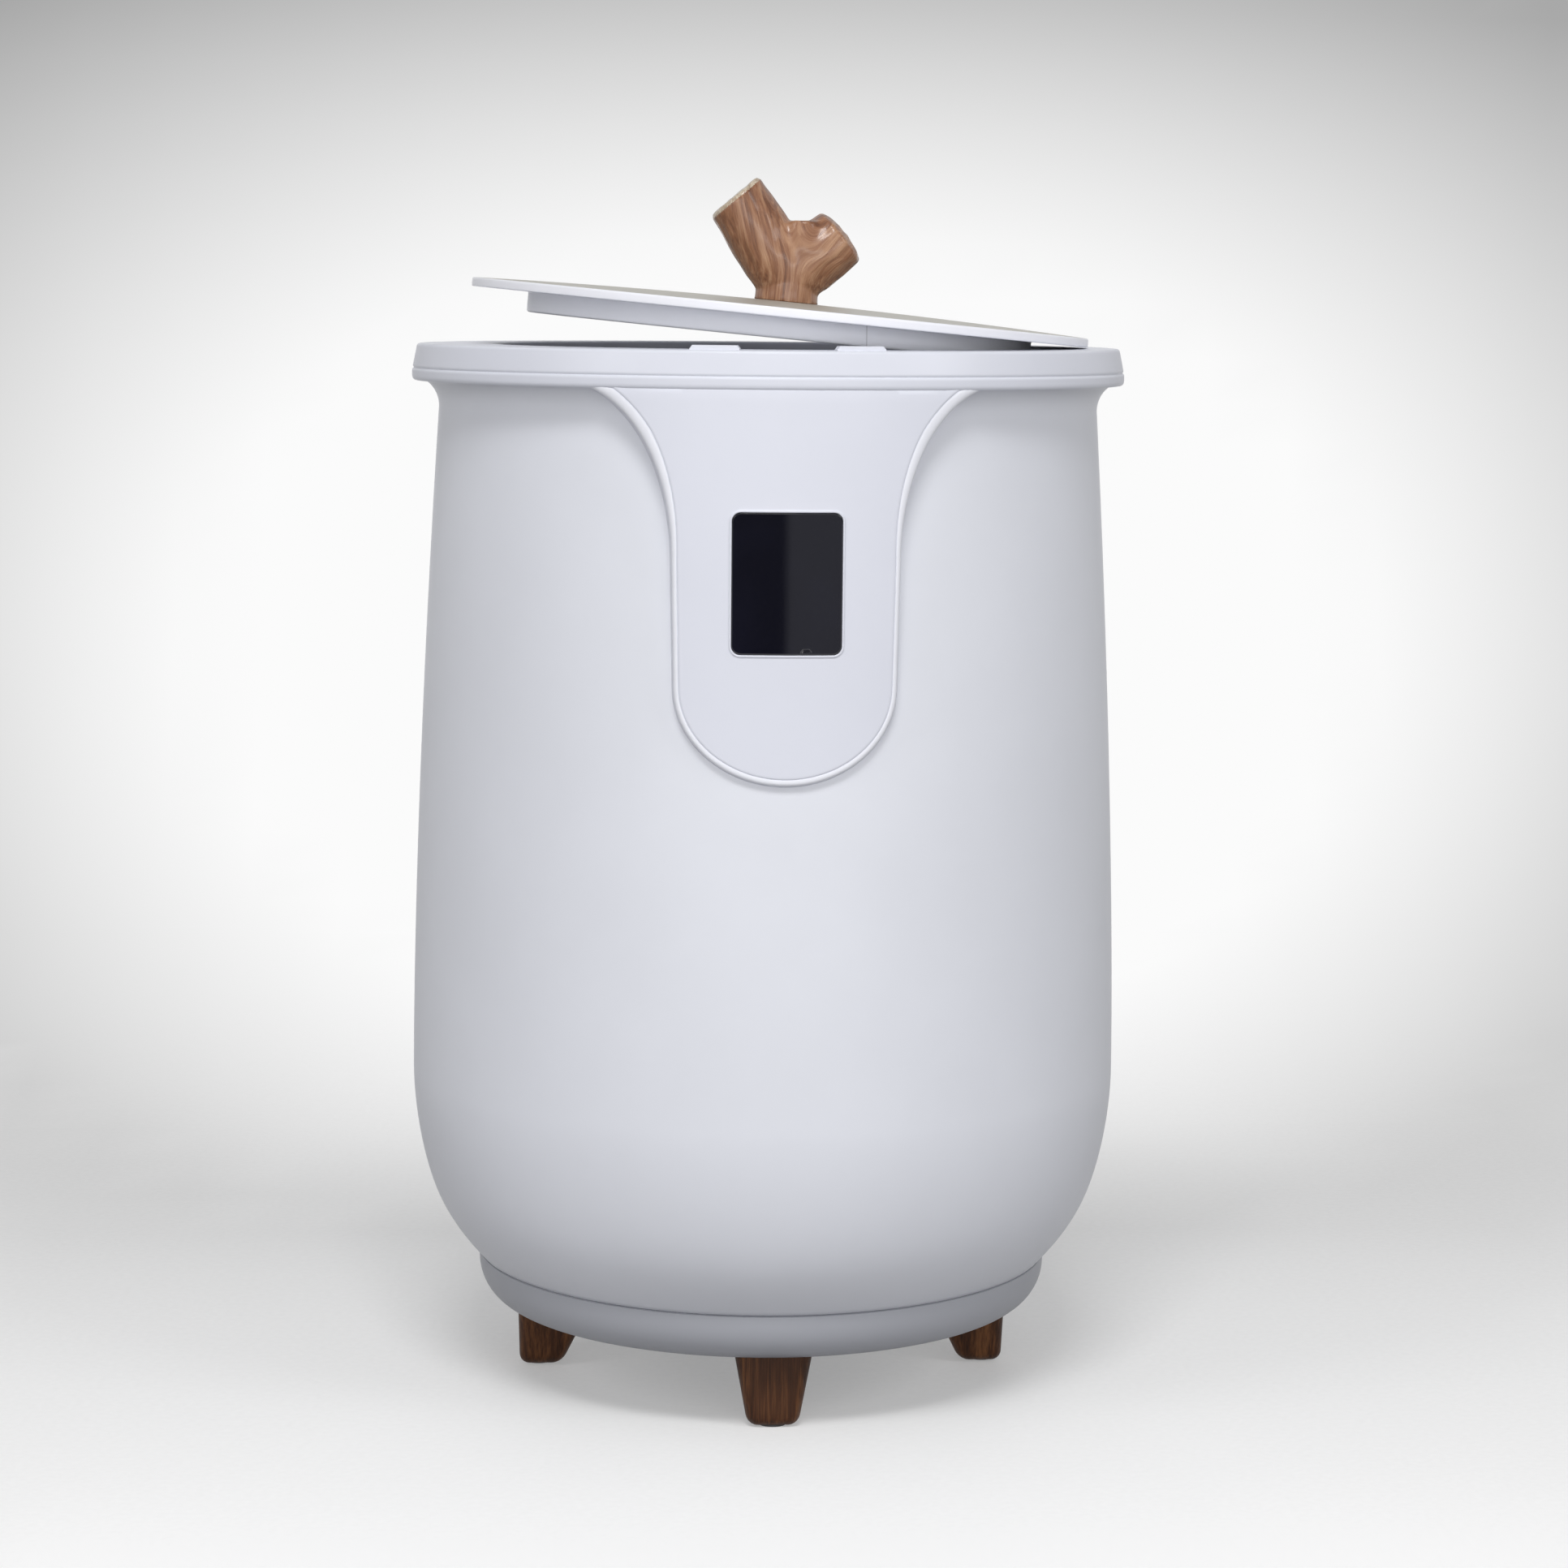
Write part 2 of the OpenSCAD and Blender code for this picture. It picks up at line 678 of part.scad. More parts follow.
module display_module() {
    back = cb_front_y;
    front = face_y(glass_r - glass_t, module_w / 2) + fit_gap;
    color("#26262a") translate([-module_w / 2, front, glass_z + module_low])
        cube([module_w, back - front, module_top - module_low]);
}

module touch_springs() {
    color("silver") for (x = [-spring_x, 0, spring_x])
        translate([x, cb_front_y, glass_z - spring_drop]) rotate([90, 0, 0]) difference() {
            cylinder(r = spring_r, h = cb_front_y - face_y(glass_r - glass_t, spring_x + spring_r));
            translate([0, 0, 1]) cylinder(r = spring_r - 0.7, h = 20);
        }
}

// Cable port on the back of the control board
port_x = -15;
port_w = 12;
port_h = 6;
port_t = 5;
port_z = glass_z - cb_h / 2 + 8;
chip_x = 2;
chip_w = 14;
chip_t = 2;

module control_board() {
    color("#2f6b45") difference() {
        union() {
            translate([-cb_w / 2, cb_front_y, glass_z - cb_h / 2]) cube([cb_w, pcb_t, cb_h]);
            translate([port_x - port_w / 2, cb_front_y + pcb_t, port_z]) cube([port_w, port_t, port_h]);
            translate([chip_x, cb_front_y + pcb_t, glass_z - chip_w / 2]) cube([chip_w, chip_t, chip_w]);
        }
        for (x = [-1, 1], z = [-1, 1])
            translate([x * cb_screw_x, cb_front_y - 1, glass_z + z * cb_screw_z])
                rotate([-90, 0, 0]) cylinder(r = screw_r + hole_gap, h = pcb_t + 2);
    }
}

module control_board_screws() {
    color("silver") for (x = [-1, 1], z = [-1, 1])
        translate([x * cb_screw_x, cb_front_y + pcb_t, glass_z + z * cb_screw_z])
            rotate([-90, 0, 0]) screw(screw_r - screw_gap, pcb_t + 4, screw_head_r, screw_head_h);
}

// Flat cable from the control board down inside the shell to the power board
cable_w = 10;
cable_t = 0.8;
cable_y = cb_front_y + pcb_t + port_t / 2;
cable_turn_z = seam_z + 40;
cable_turn = 28;                         // how far the cable comes in before it runs level
cable_low_z = seam_z + floor_t + 0.8;    // just above the ring at the foot of the shell
board_port_y = board_y - board_w / 2 + 6;
board_port_h = 7;

module panel_cable() {
    run = [
        [cable_y, port_z], [cable_y, cable_turn_z], [cable_y + cable_turn, cable_low_z],
        [board_port_y - 10, cable_low_z], [board_port_y, board_top + board_port_h]];
    upper = [for (i = [0 : len(run) - 1]) run[i] + [cable_t, i == len(run) - 1 ? 0 : cable_t * 0.6]];
    color("#d8d8d2") translate([port_x - cable_w / 2, 0, 0]) rotate([90, 0, 90])
        linear_extrude(cable_w) polygon(concat(run, reversed(upper)));
}

// Metal liner
function liner_arc(r, low_z) =
    [for (i = [0 : curve_steps]) let (a = 90 * i / curve_steps)
        [liner_r - liner_corner + r * sin(a), low_z + r - r * cos(a)]];

module inner_liner() {
    lip_z = flange_top + liner_wall;
    color("#3a3a3e") rotate_extrude() polygon(concat(
        [[0, liner_z + liner_wall]],
        liner_arc(liner_corner, liner_z + liner_wall),
        [[liner_r, lip_z], [liner_flange_r, lip_z], [liner_flange_r, flange_top], [liner_out_r, flange_top]],
        reversed(liner_arc(liner_corner + liner_wall, liner_z)),
        [[0, liner_z]]));
}

// Rings that lie on the liner's wall
film_z = liner_z + liner_wall + liner_corner + 4;
film_h = flange_z - film_margin - film_z;
sleeve_step = 6;
sleeve_over = 30;
pad_in_r = 46;                           // the floor insulation leaves room for the sensors
pad_out_r = base_screw_circle - boss_r - 1;

module ring(inner_r, outer_r, low_z, height) {
    translate([0, 0, low_z]) difference() {
        cylinder(r = outer_r, h = height);
        translate([0, 0, -1]) cylinder(r = inner_r, h = height + 2);
    }
}

module heater_film() color("#b5622e") ring(liner_out_r, film_r, film_z, film_h);

module insulation_sleeve()
    color("#d9d4c4") ring(film_r, film_r + sleeve_t, film_z + sleeve_step, film_h + sleeve_over);

module floor_insulation()
    color("#d9d4c4") ring(pad_in_r, pad_out_r, liner_z - pad_t, pad_t);

// Parts under the liner's floor
thermostat_at = [26, -18];
thermostat_h = 8;
fuse_at = [0, 24];
fuse_l = 22;
fuse_r = 4.5;
sensor_at = [-28, -4];
sensor_l = 16;
sensor_r = 3;

module thermostat() {
    color("#c9c4b8") translate([thermostat_at[0], thermostat_at[1], liner_z]) mirror([0, 0, 1]) {
        cylinder(r = 11, h = 1);
        cylinder(r = 8, h = thermostat_h);
        for (x = [-1, 1]) translate([x * 4, 0, thermostat_h]) block([0.8, 4, 3]);
    }
}

module thermal_fuse() {
    color("#e8e4da") translate([fuse_at[0] - fuse_l / 2, fuse_at[1], liner_z - fuse_r])
        rotate([0, 90, 0]) cylinder(r = fuse_r, h = fuse_l);
}

module temperature_sensor() {
    color("silver") translate([sensor_at[0], sensor_at[1] - sensor_l / 2, liner_z - sensor_r])
        rotate([-90, 0, 0]) cylinder(r = sensor_r, h = sensor_l);
}

// Sheet clip over a round body that lies along X under the floor
module clip(r) {
    wide = 8;
    sheet = 0.8;
    ear = 6;
    translate([-wide / 2, 0, 0]) rotate([90, 0, 90]) linear_extrude(wide) difference() {
        union() {
            translate([0, -r]) circle(r = r + sheet);
            translate([-r - sheet, -r]) square([2 * (r + sheet), r]);
            translate([-r - ear, -sheet]) square([2 * (r + ear), sheet]);
        }
        translate([0, -r]) circle(r = r);
        translate([-r, -r]) square([2 * r, r + 1]);
    }
}

module sensor_clips() {
    color("#b8bcc0") {
        translate([fuse_at[0], fuse_at[1], liner_z]) clip(fuse_r);
        translate([sensor_at[0], sensor_at[1], liner_z]) rotate(90) clip(sensor_r);
    }
}

// Power board in the base
sensor_port_x = 14;
terminal_y = board_y + board_w / 2 - 7;
terminal_h = 12;
terminal_pitch = 8.4;
terminal_socket = 5;

module on_board(x, y) translate([x, board_y + y, board_top]) children();

module power_board() {
    color("#2f6b45") difference() {
        union() {
            translate([0, board_y, board_z]) block([board_l, board_w, pcb_t]);
            translate([port_x, board_port_y, board_top]) block([port_w, 8, board_port_h]);
            translate([sensor_port_x, board_port_y, board_top]) block([port_w, 8, board_port_h]);
        }
        for (x = [-1, 1], y = [-1, 1])
            translate([x * pillar_x, board_y + y * pillar_y, board_z - 1])
                cylinder(r = screw_r + hole_gap, h = pcb_t + 2);
    }
}

module power_board_screws() {
    color("silver") for (x = [-1, 1], y = [-1, 1])
        translate([x * pillar_x, board_y + y * pillar_y, board_top])
            screw(screw_r - screw_gap, pcb_t + pillar_h - 1, screw_head_r, screw_head_h);
}

module relay() color("#2b4f8a") on_board(-27, 4) block([19, 15, 13]);

module transformer() color("#d8b23c") on_board(24, 4) block([30, 26, 14]);

module capacitor() color("#2a2a2c") on_board(-30, -14) cylinder(r = 6, h = 12);

module terminal_block() {
    color("#3c8f57") on_board(0, board_w / 2 - 7) difference() {
        block([36, 10, terminal_h]);
        for (i = [-1.5 : 1.5]) translate([i * terminal_pitch, 3, 3])
            block([terminal_socket, 8, terminal_socket]);
    }
}

// Leads
heater_lead_r = film_r + lead_r + 0.1;   // the heater's leads lie on its film
heater_lead_turn = 95;                   // and leave it here, just past the back
heater_lead_step = 8;
lead_end = 3;                            // a lead runs straight for this much at its ends
module heater_leads() {
    color("#c2412f") for (i = [0, 1]) {
        a = heater_lead_turn + heater_lead_step * i;
        x = -terminal_pitch * (i + 0.5);
        lead([
            [heater_lead_r * cos(a), heater_lead_r * sin(a), film_z + 3],
            [heater_lead_r * cos(a), heater_lead_r * sin(a), liner_z - 8],
            [x, terminal_y, board_top + terminal_h + lead_end],
            [x, terminal_y, board_top + terminal_h]], lead_r);
    }
}

module sensor_leads() {
    port_top = board_top + board_port_h;
    bend_z = liner_z - 12;
    color("#e8e4da") {
        lead([
            [thermostat_at[0] - 4, thermostat_at[1], liner_z - thermostat_h - 3],
            [thermostat_at[0] - 4, thermostat_at[1] + 1, bend_z - 5],
            [sensor_port_x + 4, board_port_y, port_top + lead_end],
            [sensor_port_x + 4, board_port_y, port_top]], lead_r);
        lead([
            [fuse_at[0] + fuse_l / 2, fuse_at[1], liner_z - fuse_r],
            [fuse_at[0] + fuse_l / 2 + lead_end, fuse_at[1], liner_z - fuse_r],
            [fuse_at[0] + fuse_l / 2 + 6, fuse_at[1] - 3, bend_z],
            [sensor_port_x, board_port_y, port_top + lead_end],
            [sensor_port_x, board_port_y, port_top]], lead_r);
        lead([
            [sensor_at[0], sensor_at[1] + sensor_l / 2, liner_z - sensor_r],
            [sensor_at[0], sensor_at[1] + sensor_l / 2 + lead_end, liner_z - sensor_r],
            [sensor_at[0] + 6, sensor_at[1] + sensor_l / 2 + 10, bend_z],
            [sensor_port_x - 4, board_port_y, port_top + lead_end],
            [sensor_port_x - 4, board_port_y, port_top]], lead_r);
    }
}

// Cord gland, low at the back
function inside_r(z) = shell_r(z) - shell_wall;
gland_face_y = rim_r - 1.1;
gland_back_y = inside_r(gland_z) - gland_in;

module gland_hole() {
    translate([0, gland_back_y - 1, gland_z]) rotate([-90, 0, 0])
        cylinder(r = gland_bore_r, h = gland_face_y - gland_back_y + 2);
}

module cord_gland() {
    color("#e4e6ee") difference() {
        union() {
            translate([0, gland_back_y, gland_z]) rotate([-90, 0, 0])
                cylinder(r = gland_r, h = gland_face_y - gland_back_y - 1);
            difference() {
                translate([0, gland_face_y - 8, gland_z]) rotate([-90, 0, 0])
                    cylinder(r = gland_flange_r, h = 8);
                shell_solid(0);
            }
        }
        gland_hole();
    }
}

nut_t = 4;
nut_r = gland_r + 4;
nut_y = sqrt(pow(inside_r(gland_z - nut_r), 2) - pow(nut_r, 2)) - nut_t;
module gland_nut() {
    color("#e4e6ee") translate([0, nut_y, gland_z]) rotate([-90, 0, 0]) difference() {
        cylinder(r = nut_r, h = nut_t, $fn = 6);
        translate([0, 0, -1]) cylinder(r = gland_r, h = nut_t + 2);
    }
}

// Lid, tipped about its right edge
module on_lid() {
    translate([lid_pivot_x, 0, lid_pivot_z]) rotate([0, lid_tilt, 0]) translate([-lid_r, 0, 0]) children();
}

function crown_z(r) = lid_edge_t + lid_crown * (1 - pow(r / lid_r, 2));
lid_under = -skirt_h;
lid_seat_z = lid_under + lid_seat_h;
lid_lip_t = lid_edge_t - lid_wall;       // the lip stays under the plate's edge
head_seat = screw_head_h + 0.6;

module lid_top() {
    shape_r = [for (i = [0 : crown_steps]) (lid_r - 1) * i / crown_steps];
    under_r = [for (i = [0 : crown_steps]) (lid_r - lid_wall) * i / crown_steps];
    color(white) on_lid() difference() {
        union() {
            rotate_extrude() polygon(concat(
                [for (r = shape_r) [r, crown_z(r)]],
                [[lid_r, lid_edge_t - 1], [lid_r, 0.6], [lid_r - 0.6, 0], [lid_r - lid_wall, 0]],
                reversed([for (r = under_r) [r, crown_z(r) - lid_wall]])));
            at_circle(lid_screw_count, lid_screw_circle)
                translate([0, 0, lid_seat_z])
                    cylinder(r = lid_boss_r, h = crown_z(lid_screw_circle) - lid_wall - lid_seat_z + 0.5);
            translate([0, 0, lid_hub_h])
                cylinder(r = lid_hub_r, h = handle_seat_z - lid_wall - lid_hub_h + 0.5);
        }
        translate([0, 0, lid_hub_h - 1]) cylinder(r = handle_bolt_r + hole_gap, h = handle_seat_z);
        at_circle(lid_screw_count, lid_screw_circle)
            translate([0, 0, lid_seat_z - 1]) cylinder(r = screw_r, h = 7);
    }
}

module lid_inner() {
    color(white) on_lid() difference() {
        union() {
            rotate_extrude() polygon([
                [0, lid_under], [skirt_r - 1, lid_under], [skirt_r, lid_under + 1], [skirt_r, 0],
                [lid_r - lid_wall - fit_gap, 0], [lid_r - lid_wall - fit_gap, lid_lip_t],
                [skirt_r - lid_wall, lid_lip_t], [skirt_r - lid_wall, lid_under + lid_floor_t],
                [0, lid_under + lid_floor_t]]);
            at_circle(lid_screw_count, lid_screw_circle)
                translate([0, 0, lid_under]) cylinder(r = lid_boss_r + 1.5, h = lid_seat_h);
        }
        at_circle(lid_screw_count, lid_screw_circle) {
            translate([0, 0, lid_under - 1]) cylinder(r = screw_r + hole_gap, h = lid_seat_h + 2);
            translate([0, 0, lid_under - 1]) cylinder(r = screw_head_r + hole_gap, h = head_seat + 1);
        }
    }
}

module lid_insulation() {
    color("#d9d4c4") on_lid()
        ring(14, lid_screw_circle - lid_boss_r - 3, lid_under + lid_floor_t, lid_foam_t);
}

module lid_screws() {
    color("silver") on_lid() at_circle(lid_screw_count, lid_screw_circle)
        translate([0, 0, lid_under + head_seat]) mirror([0, 0, 1])
            screw(screw_r - screw_gap, lid_seat_h - head_seat + 5, screw_head_r, screw_head_h);
}

// Forked handle, standing on the middle of the lid
cut_round = 1;       // rounding of the left branch's cut end
dome_h = 4.4;        // rise of the right branch's round end
notch_x = 4;         // middle of the notch between the branches

// The pieces of wood overlap with no faces in common
module disc(r, h) cylinder(r = r, h = h, $fn = 32);
module knot(r) translate([0, 0, fork_h]) sphere(r = r, $fn = 32);

module branch_handle() {
    wood_r = neck_d / 2;
    color(wood_light) on_lid() translate([0, 0, handle_seat_z]) difference() {
        translate([neck_shift, 0, 0]) union() {
            translate([0, 0, -1]) cylinder(r = wood_r, h = fork_h);
            translate([notch_x, 0, notch_h - wood_r]) sphere(r = wood_r);
            hull() {
                knot(wood_r - 0.3);
                translate([0, 0, fork_h]) rotate([0, -left_lean, 0]) {
                    translate([0, 0, left_len - 2 * cut_round]) disc(left_d / 2, cut_round);
                    translate([0, 0, left_len - cut_round]) disc(left_d / 2 - cut_round, cut_round);
                }
            }
            hull() {
                knot(wood_r - 0.6);
                translate([0, 0, fork_h]) rotate([0, right_lean, 0]) {
                    translate([0, 0, right_len - 1]) disc(right_d / 2, 1);
                    translate([0, 0, right_len]) disc(right_d * 0.4, dome_h * 0.7);
                    translate([0, 0, right_len]) disc(right_d * 0.2, dome_h);
                }
            }
        }
        translate([0, 0, -1]) cylinder(r = handle_bolt_r, h = handle_bolt_l + 2);
        translate([neck_shift, 0, -2 * wood_r]) cylinder(r = 2 * wood_r, h = 2 * wood_r);
    }
}

module handle_screw() {
    color("silver") on_lid() translate([0, 0, lid_hub_h - washer_t]) rotate([180, 0, 0])
        screw(handle_bolt_r - screw_gap, handle_bolt_l + handle_seat_z - lid_hub_h + washer_t,
            handle_head_r, handle_head_h);
}

module handle_washer() color("silver") on_lid()
    ring(handle_bolt_r + hole_gap, washer_r, lid_hub_h - washer_t, washer_t);

outer_shell();
base_cover();
base_screws();
foot_front();
foot_right();
foot_back();
foot_left();
foot_pads();
foot_screws();
rim_collar();
rim_screws();
control_panel();
panel_screws();
display_glass();
display_module();
touch_springs();
control_board();
control_board_screws();
panel_cable();
inner_liner();
heater_film();
insulation_sleeve();
floor_insulation();
thermostat();
thermal_fuse();
temperature_sensor();
sensor_clips();
power_board();
power_board_screws();
relay();
transformer();
capacitor();
terminal_block();
heater_leads();
sensor_leads();
cord_gland();
gland_nut();
lid_top();
lid_inner();
lid_insulation();
lid_screws();
branch_handle();
handle_screw();
handle_washer();
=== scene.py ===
"""Looks of a bucket towel warmer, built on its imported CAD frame.

The bucket stands on the floor at z = 0 with its axis on Z and its control panel at -Y. Sizes in the
classes are millimetres, as in the part's source, and the meshes are made in metres.
"""

import logging
import math
from dataclasses import dataclass
from enum import Enum
from typing import Callable, Optional, Sequence

import bmesh
import bpy
from mathutils import Matrix, Vector, noise
from mathutils.geometry import delaunay_2d_cdt


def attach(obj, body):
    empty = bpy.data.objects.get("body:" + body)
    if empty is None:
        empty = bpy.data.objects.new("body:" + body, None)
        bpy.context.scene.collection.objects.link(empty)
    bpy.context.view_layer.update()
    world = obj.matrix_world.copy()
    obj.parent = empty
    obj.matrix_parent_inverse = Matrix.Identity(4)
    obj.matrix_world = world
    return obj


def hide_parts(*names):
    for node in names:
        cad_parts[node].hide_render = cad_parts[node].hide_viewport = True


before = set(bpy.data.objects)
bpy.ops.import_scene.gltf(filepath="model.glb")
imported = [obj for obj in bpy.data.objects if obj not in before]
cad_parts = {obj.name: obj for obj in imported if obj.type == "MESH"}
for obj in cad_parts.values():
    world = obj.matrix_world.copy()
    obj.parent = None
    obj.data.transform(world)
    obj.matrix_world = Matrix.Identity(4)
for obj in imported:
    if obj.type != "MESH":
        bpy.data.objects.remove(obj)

MM = 0.001
ROUND = 224  # pieces in each of the bucket's and lid's circles
log = logging.getLogger("towel_warmer")

Point = tuple[float, float]
Triple = tuple[float, float, float]
Level = Sequence[Triple]
Socket = bpy.types.NodeSocket
Piece = bpy.types.Object
BMesh = bmesh.types.BMesh
Ring = list[bmesh.types.BMVert]


class BodyName(Enum):
    """The two moving bodies of the part."""

    BUCKET = "bucket"
    LID = "lid"


class Slot(Enum):
    """The record's material slot names for the new pieces."""

    SHELL = "shell_white"
    RIM = "rim_white"
    GLASS = "panel_glass"
    HANDLE = "handle_wood"
    FOOT = "foot_wood"


class Side(Enum):
    """Where a foot stands, as a turn about the bucket's axis in degrees."""

    FRONT = 0
    RIGHT = 90
    BACK = 180
    LEFT = 270


# Node graphs


class Graph:
    """A material's or world's node tree, with short calls to add and join nodes."""

    def __init__(self, tree: bpy.types.NodeTree) -> None:
        """Empties the tree.

        Args:
            tree: the node tree to build in.
        """
        self.tree = tree
        tree.nodes.clear()

    def add(self, kind: str, **settings: object) -> bpy.types.Node:
        """Adds a node.

        Args:
            kind: the node's type name without its ShaderNode prefix.
            settings: values for the node's own properties.

        Returns:
            The new node.
        """
        node = self.tree.nodes.new("ShaderNode" + kind)
        for key, value in settings.items():
            setattr(node, key, value)
        return node

    def join(self, source: Socket, target: Socket) -> None:
        """Links an output to an input."""
        self.tree.links.new(source, target)

    def place(self, scale: Triple = (1, 1, 1), stored: str = "") -> Socket:
        """Gives the object's own coordinates, or those stored on its vertices, scaled.

        Args:
            scale: factors along X, Y and Z, per metre.
            stored: name of the vertices' own vector, if any.

        Returns:
            The vector output.
        """
        if stored:
            source = self.add("Attribute", attribute_name=stored).outputs["Vector"]
        else:
            source = self.add("TexCoord").outputs["Object"]
        mapping = self.add("Mapping")
        mapping.inputs["Scale"].default_value = scale
        self.join(source, mapping.inputs["Vector"])
        return mapping.outputs["Vector"]

    def noise(self, vector: Socket, scale: float, detail: float = 3, rough: float = 0.5) -> Socket:
        """Adds fractal noise and gives its value.

        Args:
            vector: where the noise is read.
            scale: its frequency.
            detail: its octaves.
            rough: how strong the finer octaves are.

        Returns:
            The noise value, 0 to 1.
        """
        node = self.add("TexNoise")
        node.inputs["Scale"].default_value = scale
        node.inputs["Detail"].default_value = detail
        node.inputs["Roughness"].default_value = rough
        self.join(vector, node.inputs["Vector"])
        return node.outputs["Fac"]

    def feed(self, socket: Socket, value: object) -> None:
        """Gives an input its value.

        Args:
            socket: the input.
            value: the output that drives it, or a constant.
        """
        if isinstance(value, Socket):
            self.join(value, socket)
        else:
            socket.default_value = value

    def math(self, how: str, *values: object) -> Socket:
        """Adds a maths node.

        Args:
            how: the operation.
            values: its inputs, each a socket or a number.

        Returns:
            The result.
        """
        node = self.add("Math", operation=how)
        for socket, value in zip(node.inputs, values):
            self.feed(socket, value)
        return node.outputs[0]

    def x_of(self, vector: Socket) -> Socket:
        """Gives a vector's X.

        Args:
            vector: the vector.

        Returns:
            Its X.
        """
        split = self.add("SeparateXYZ")
        self.join(vector, split.inputs[0])
        return split.outputs["X"]

    def ramp(self, factor: Socket, stops: Sequence[tuple[float, Sequence[float]]]) -> Socket:
        """Adds a colour ramp.

        Args:
            factor: where the ramp is read.
            stops: places from 0 to 1 with their colours.

        Returns:
            The colour.
        """
        node = self.add("ValToRGB")
        band = node.color_ramp
        while len(band.elements) < len(stops):
            band.elements.new(0.5)
        for element, (place, colour) in zip(band.elements, stops):
            element.position = place
            element.color = (*colour, 1)
        self.join(factor, node.inputs["Fac"])
        return node.outputs["Color"]

    def span(self, value: Socket, low: float, high: float, start: float = 0, end: float = 1) -> Socket:
        """Maps a value from start..end to low..high.

        Args:
            value: the value to map.
            low: result at start.
            high: result at end.
            start: lower end of the value.
            end: upper end of the value.

        Returns:
            The mapped value.
        """
        node = self.add("MapRange")
        self.join(value, node.inputs["Value"])
        for name, number in (("From Min", start), ("From Max", end), ("To Min", low), ("To Max", high)):
            node.inputs[name].default_value = number
        return node.outputs["Result"]

    def bump(self, height: Socket, depth_mm: float, under: Optional[Socket] = None) -> Socket:
        """Adds a bump.

        Args:
            height: the height, 0 to 1.
            depth_mm: how deep a height of 1 is.
            under: the normal of a bump below this one.

        Returns:
            The bumped normal.
        """
        node = self.add("Bump")
        node.inputs["Strength"].default_value = 1.0
        node.inputs["Distance"].default_value = depth_mm * MM
        self.join(height, node.inputs["Height"])
        if under is not None:
            self.join(under, node.inputs["Normal"])
        return node.outputs["Normal"]

    def surface(self, **values: object) -> None:
        """Ends the graph in a principled surface.

        Args:
            values: the shader's inputs with underscores for spaces, each a socket or a constant.
        """
        shader = self.add("BsdfPrincipled")
        for key, value in values.items():
            self.feed(shader.inputs[key.replace("_", " ")], value)
        self.end(shader.outputs[0])

    def mix(self, share: Socket, one: Socket, other: Socket) -> Socket:
        """Mixes two shaders.

        Args:
            share: the other shader's share, 0 to 1.
            one: the shader seen at 0.
            other: the shader seen at 1.

        Returns:
            The mixed shader.
        """
        node = self.add("MixShader")
        for source, target in zip((share, one, other), node.inputs):
            self.join(source, target)
        return node.outputs[0]

    def end(self, shader: Socket) -> None:
        """Makes a shader the material's surface."""
        self.join(shader, self.add("OutputMaterial").inputs["Surface"])


# Finishes


def toned(colour: Sequence[float], factor: float) -> list[float]:
    """Gives a colour made darker or lighter by a factor."""
    return [c * factor for c in colour]


@dataclass(frozen=True)
class Finish:
    """A surface finish that can be made into a material once and shared.

    Attributes:
        name: the material's name.
    """

    name: str

    def material(self) -> bpy.types.Material:
        """Gives the material, built on the first call.

        Returns:
            The material.
        """
        known = bpy.data.materials.get(self.name)
        if known is not None:
            return known
        made = bpy.data.materials.new(self.name)
        made.use_nodes = True
        self.build(Graph(made.node_tree))
        return made

    def build(self, g: Graph) -> None:
        """Fills the node tree; each kind of finish does this its own way.

        Args:
            g: the material's node graph.
        """
        raise NotImplementedError


@dataclass(frozen=True)
class SatinPlastic(Finish):
    """Moulded plastic with a fine spark-eroded grain and faint handling marks.

    Attributes:
        colour: linear base colour.
        rough: mean roughness.
        grain: depth of the moulded grain in mm.
        seam_x: where a fine moulded seam crosses X in mm, or 0 for none.
    """

    colour: Triple = (0.775, 0.79, 0.85)
    rough: float = 0.42
    grain: float = 0.012
    seam_x: float = 0.0

    def build(self, g: Graph) -> None:
        """Builds grain, a slow unevenness of the wall and rubbed patches.

        Args:
            g: the material's node graph.
        """
        at = g.place()
        patches = g.noise(at, 14, 4, 0.55)
        smudge = g.noise(at, 60, 3, 0.6)
        colour = g.ramp(patches, [(0.3, toned(self.colour, 0.965)), (0.7, self.colour)])
        if self.seam_x:
            off = g.math("ABSOLUTE", g.math("SUBTRACT", g.x_of(at), self.seam_x * MM))
            line = g.span(off, 0.72, 1, 0.0001, 0.0004)
            shaded = g.add("VectorMath", operation="SCALE")
            g.join(colour, shaded.inputs[0])
            g.join(line, shaded.inputs["Scale"])
            colour = shaded.outputs[0]
        spread = g.math("MULTIPLY_ADD", smudge, 0.10, self.rough - 0.05)
        wave = g.bump(g.noise(at, 9, 2), 0.05)
        skin = g.bump(g.noise(at, 2600, 2, 0.6), self.grain, wave)
        g.surface(Base_Color=colour, Roughness=spread, Normal=skin, IOR=1.46)


@dataclass(frozen=True)
class DisplayGlass(Finish):
    """Smoked glass with a black print behind it and a faint brushed shimmer.

    Attributes:
        colour: linear colour of the print.
    """

    colour: Triple = (0.004, 0.004, 0.009)

    def build(self, g: Graph) -> None:
        """Builds the print, fine dust in the gloss and a clear coat.

        Args:
            g: the material's node graph.
        """
        at = g.place()
        dust = g.noise(at, 900, 4, 0.7)
        colour = g.ramp(g.noise(at, 40, 3), [(0.35, self.colour), (0.75, toned(self.colour, 1.5))])
        rough = g.span(dust, 0.05, 0.12, 0.3, 0.8)
        g.surface(
            Base_Color=colour, Roughness=rough, Normal=g.bump(g.noise(at, 30, 2), 0.01),
            IOR=1.5, Coat_Weight=0.5, Coat_Roughness=0.04)


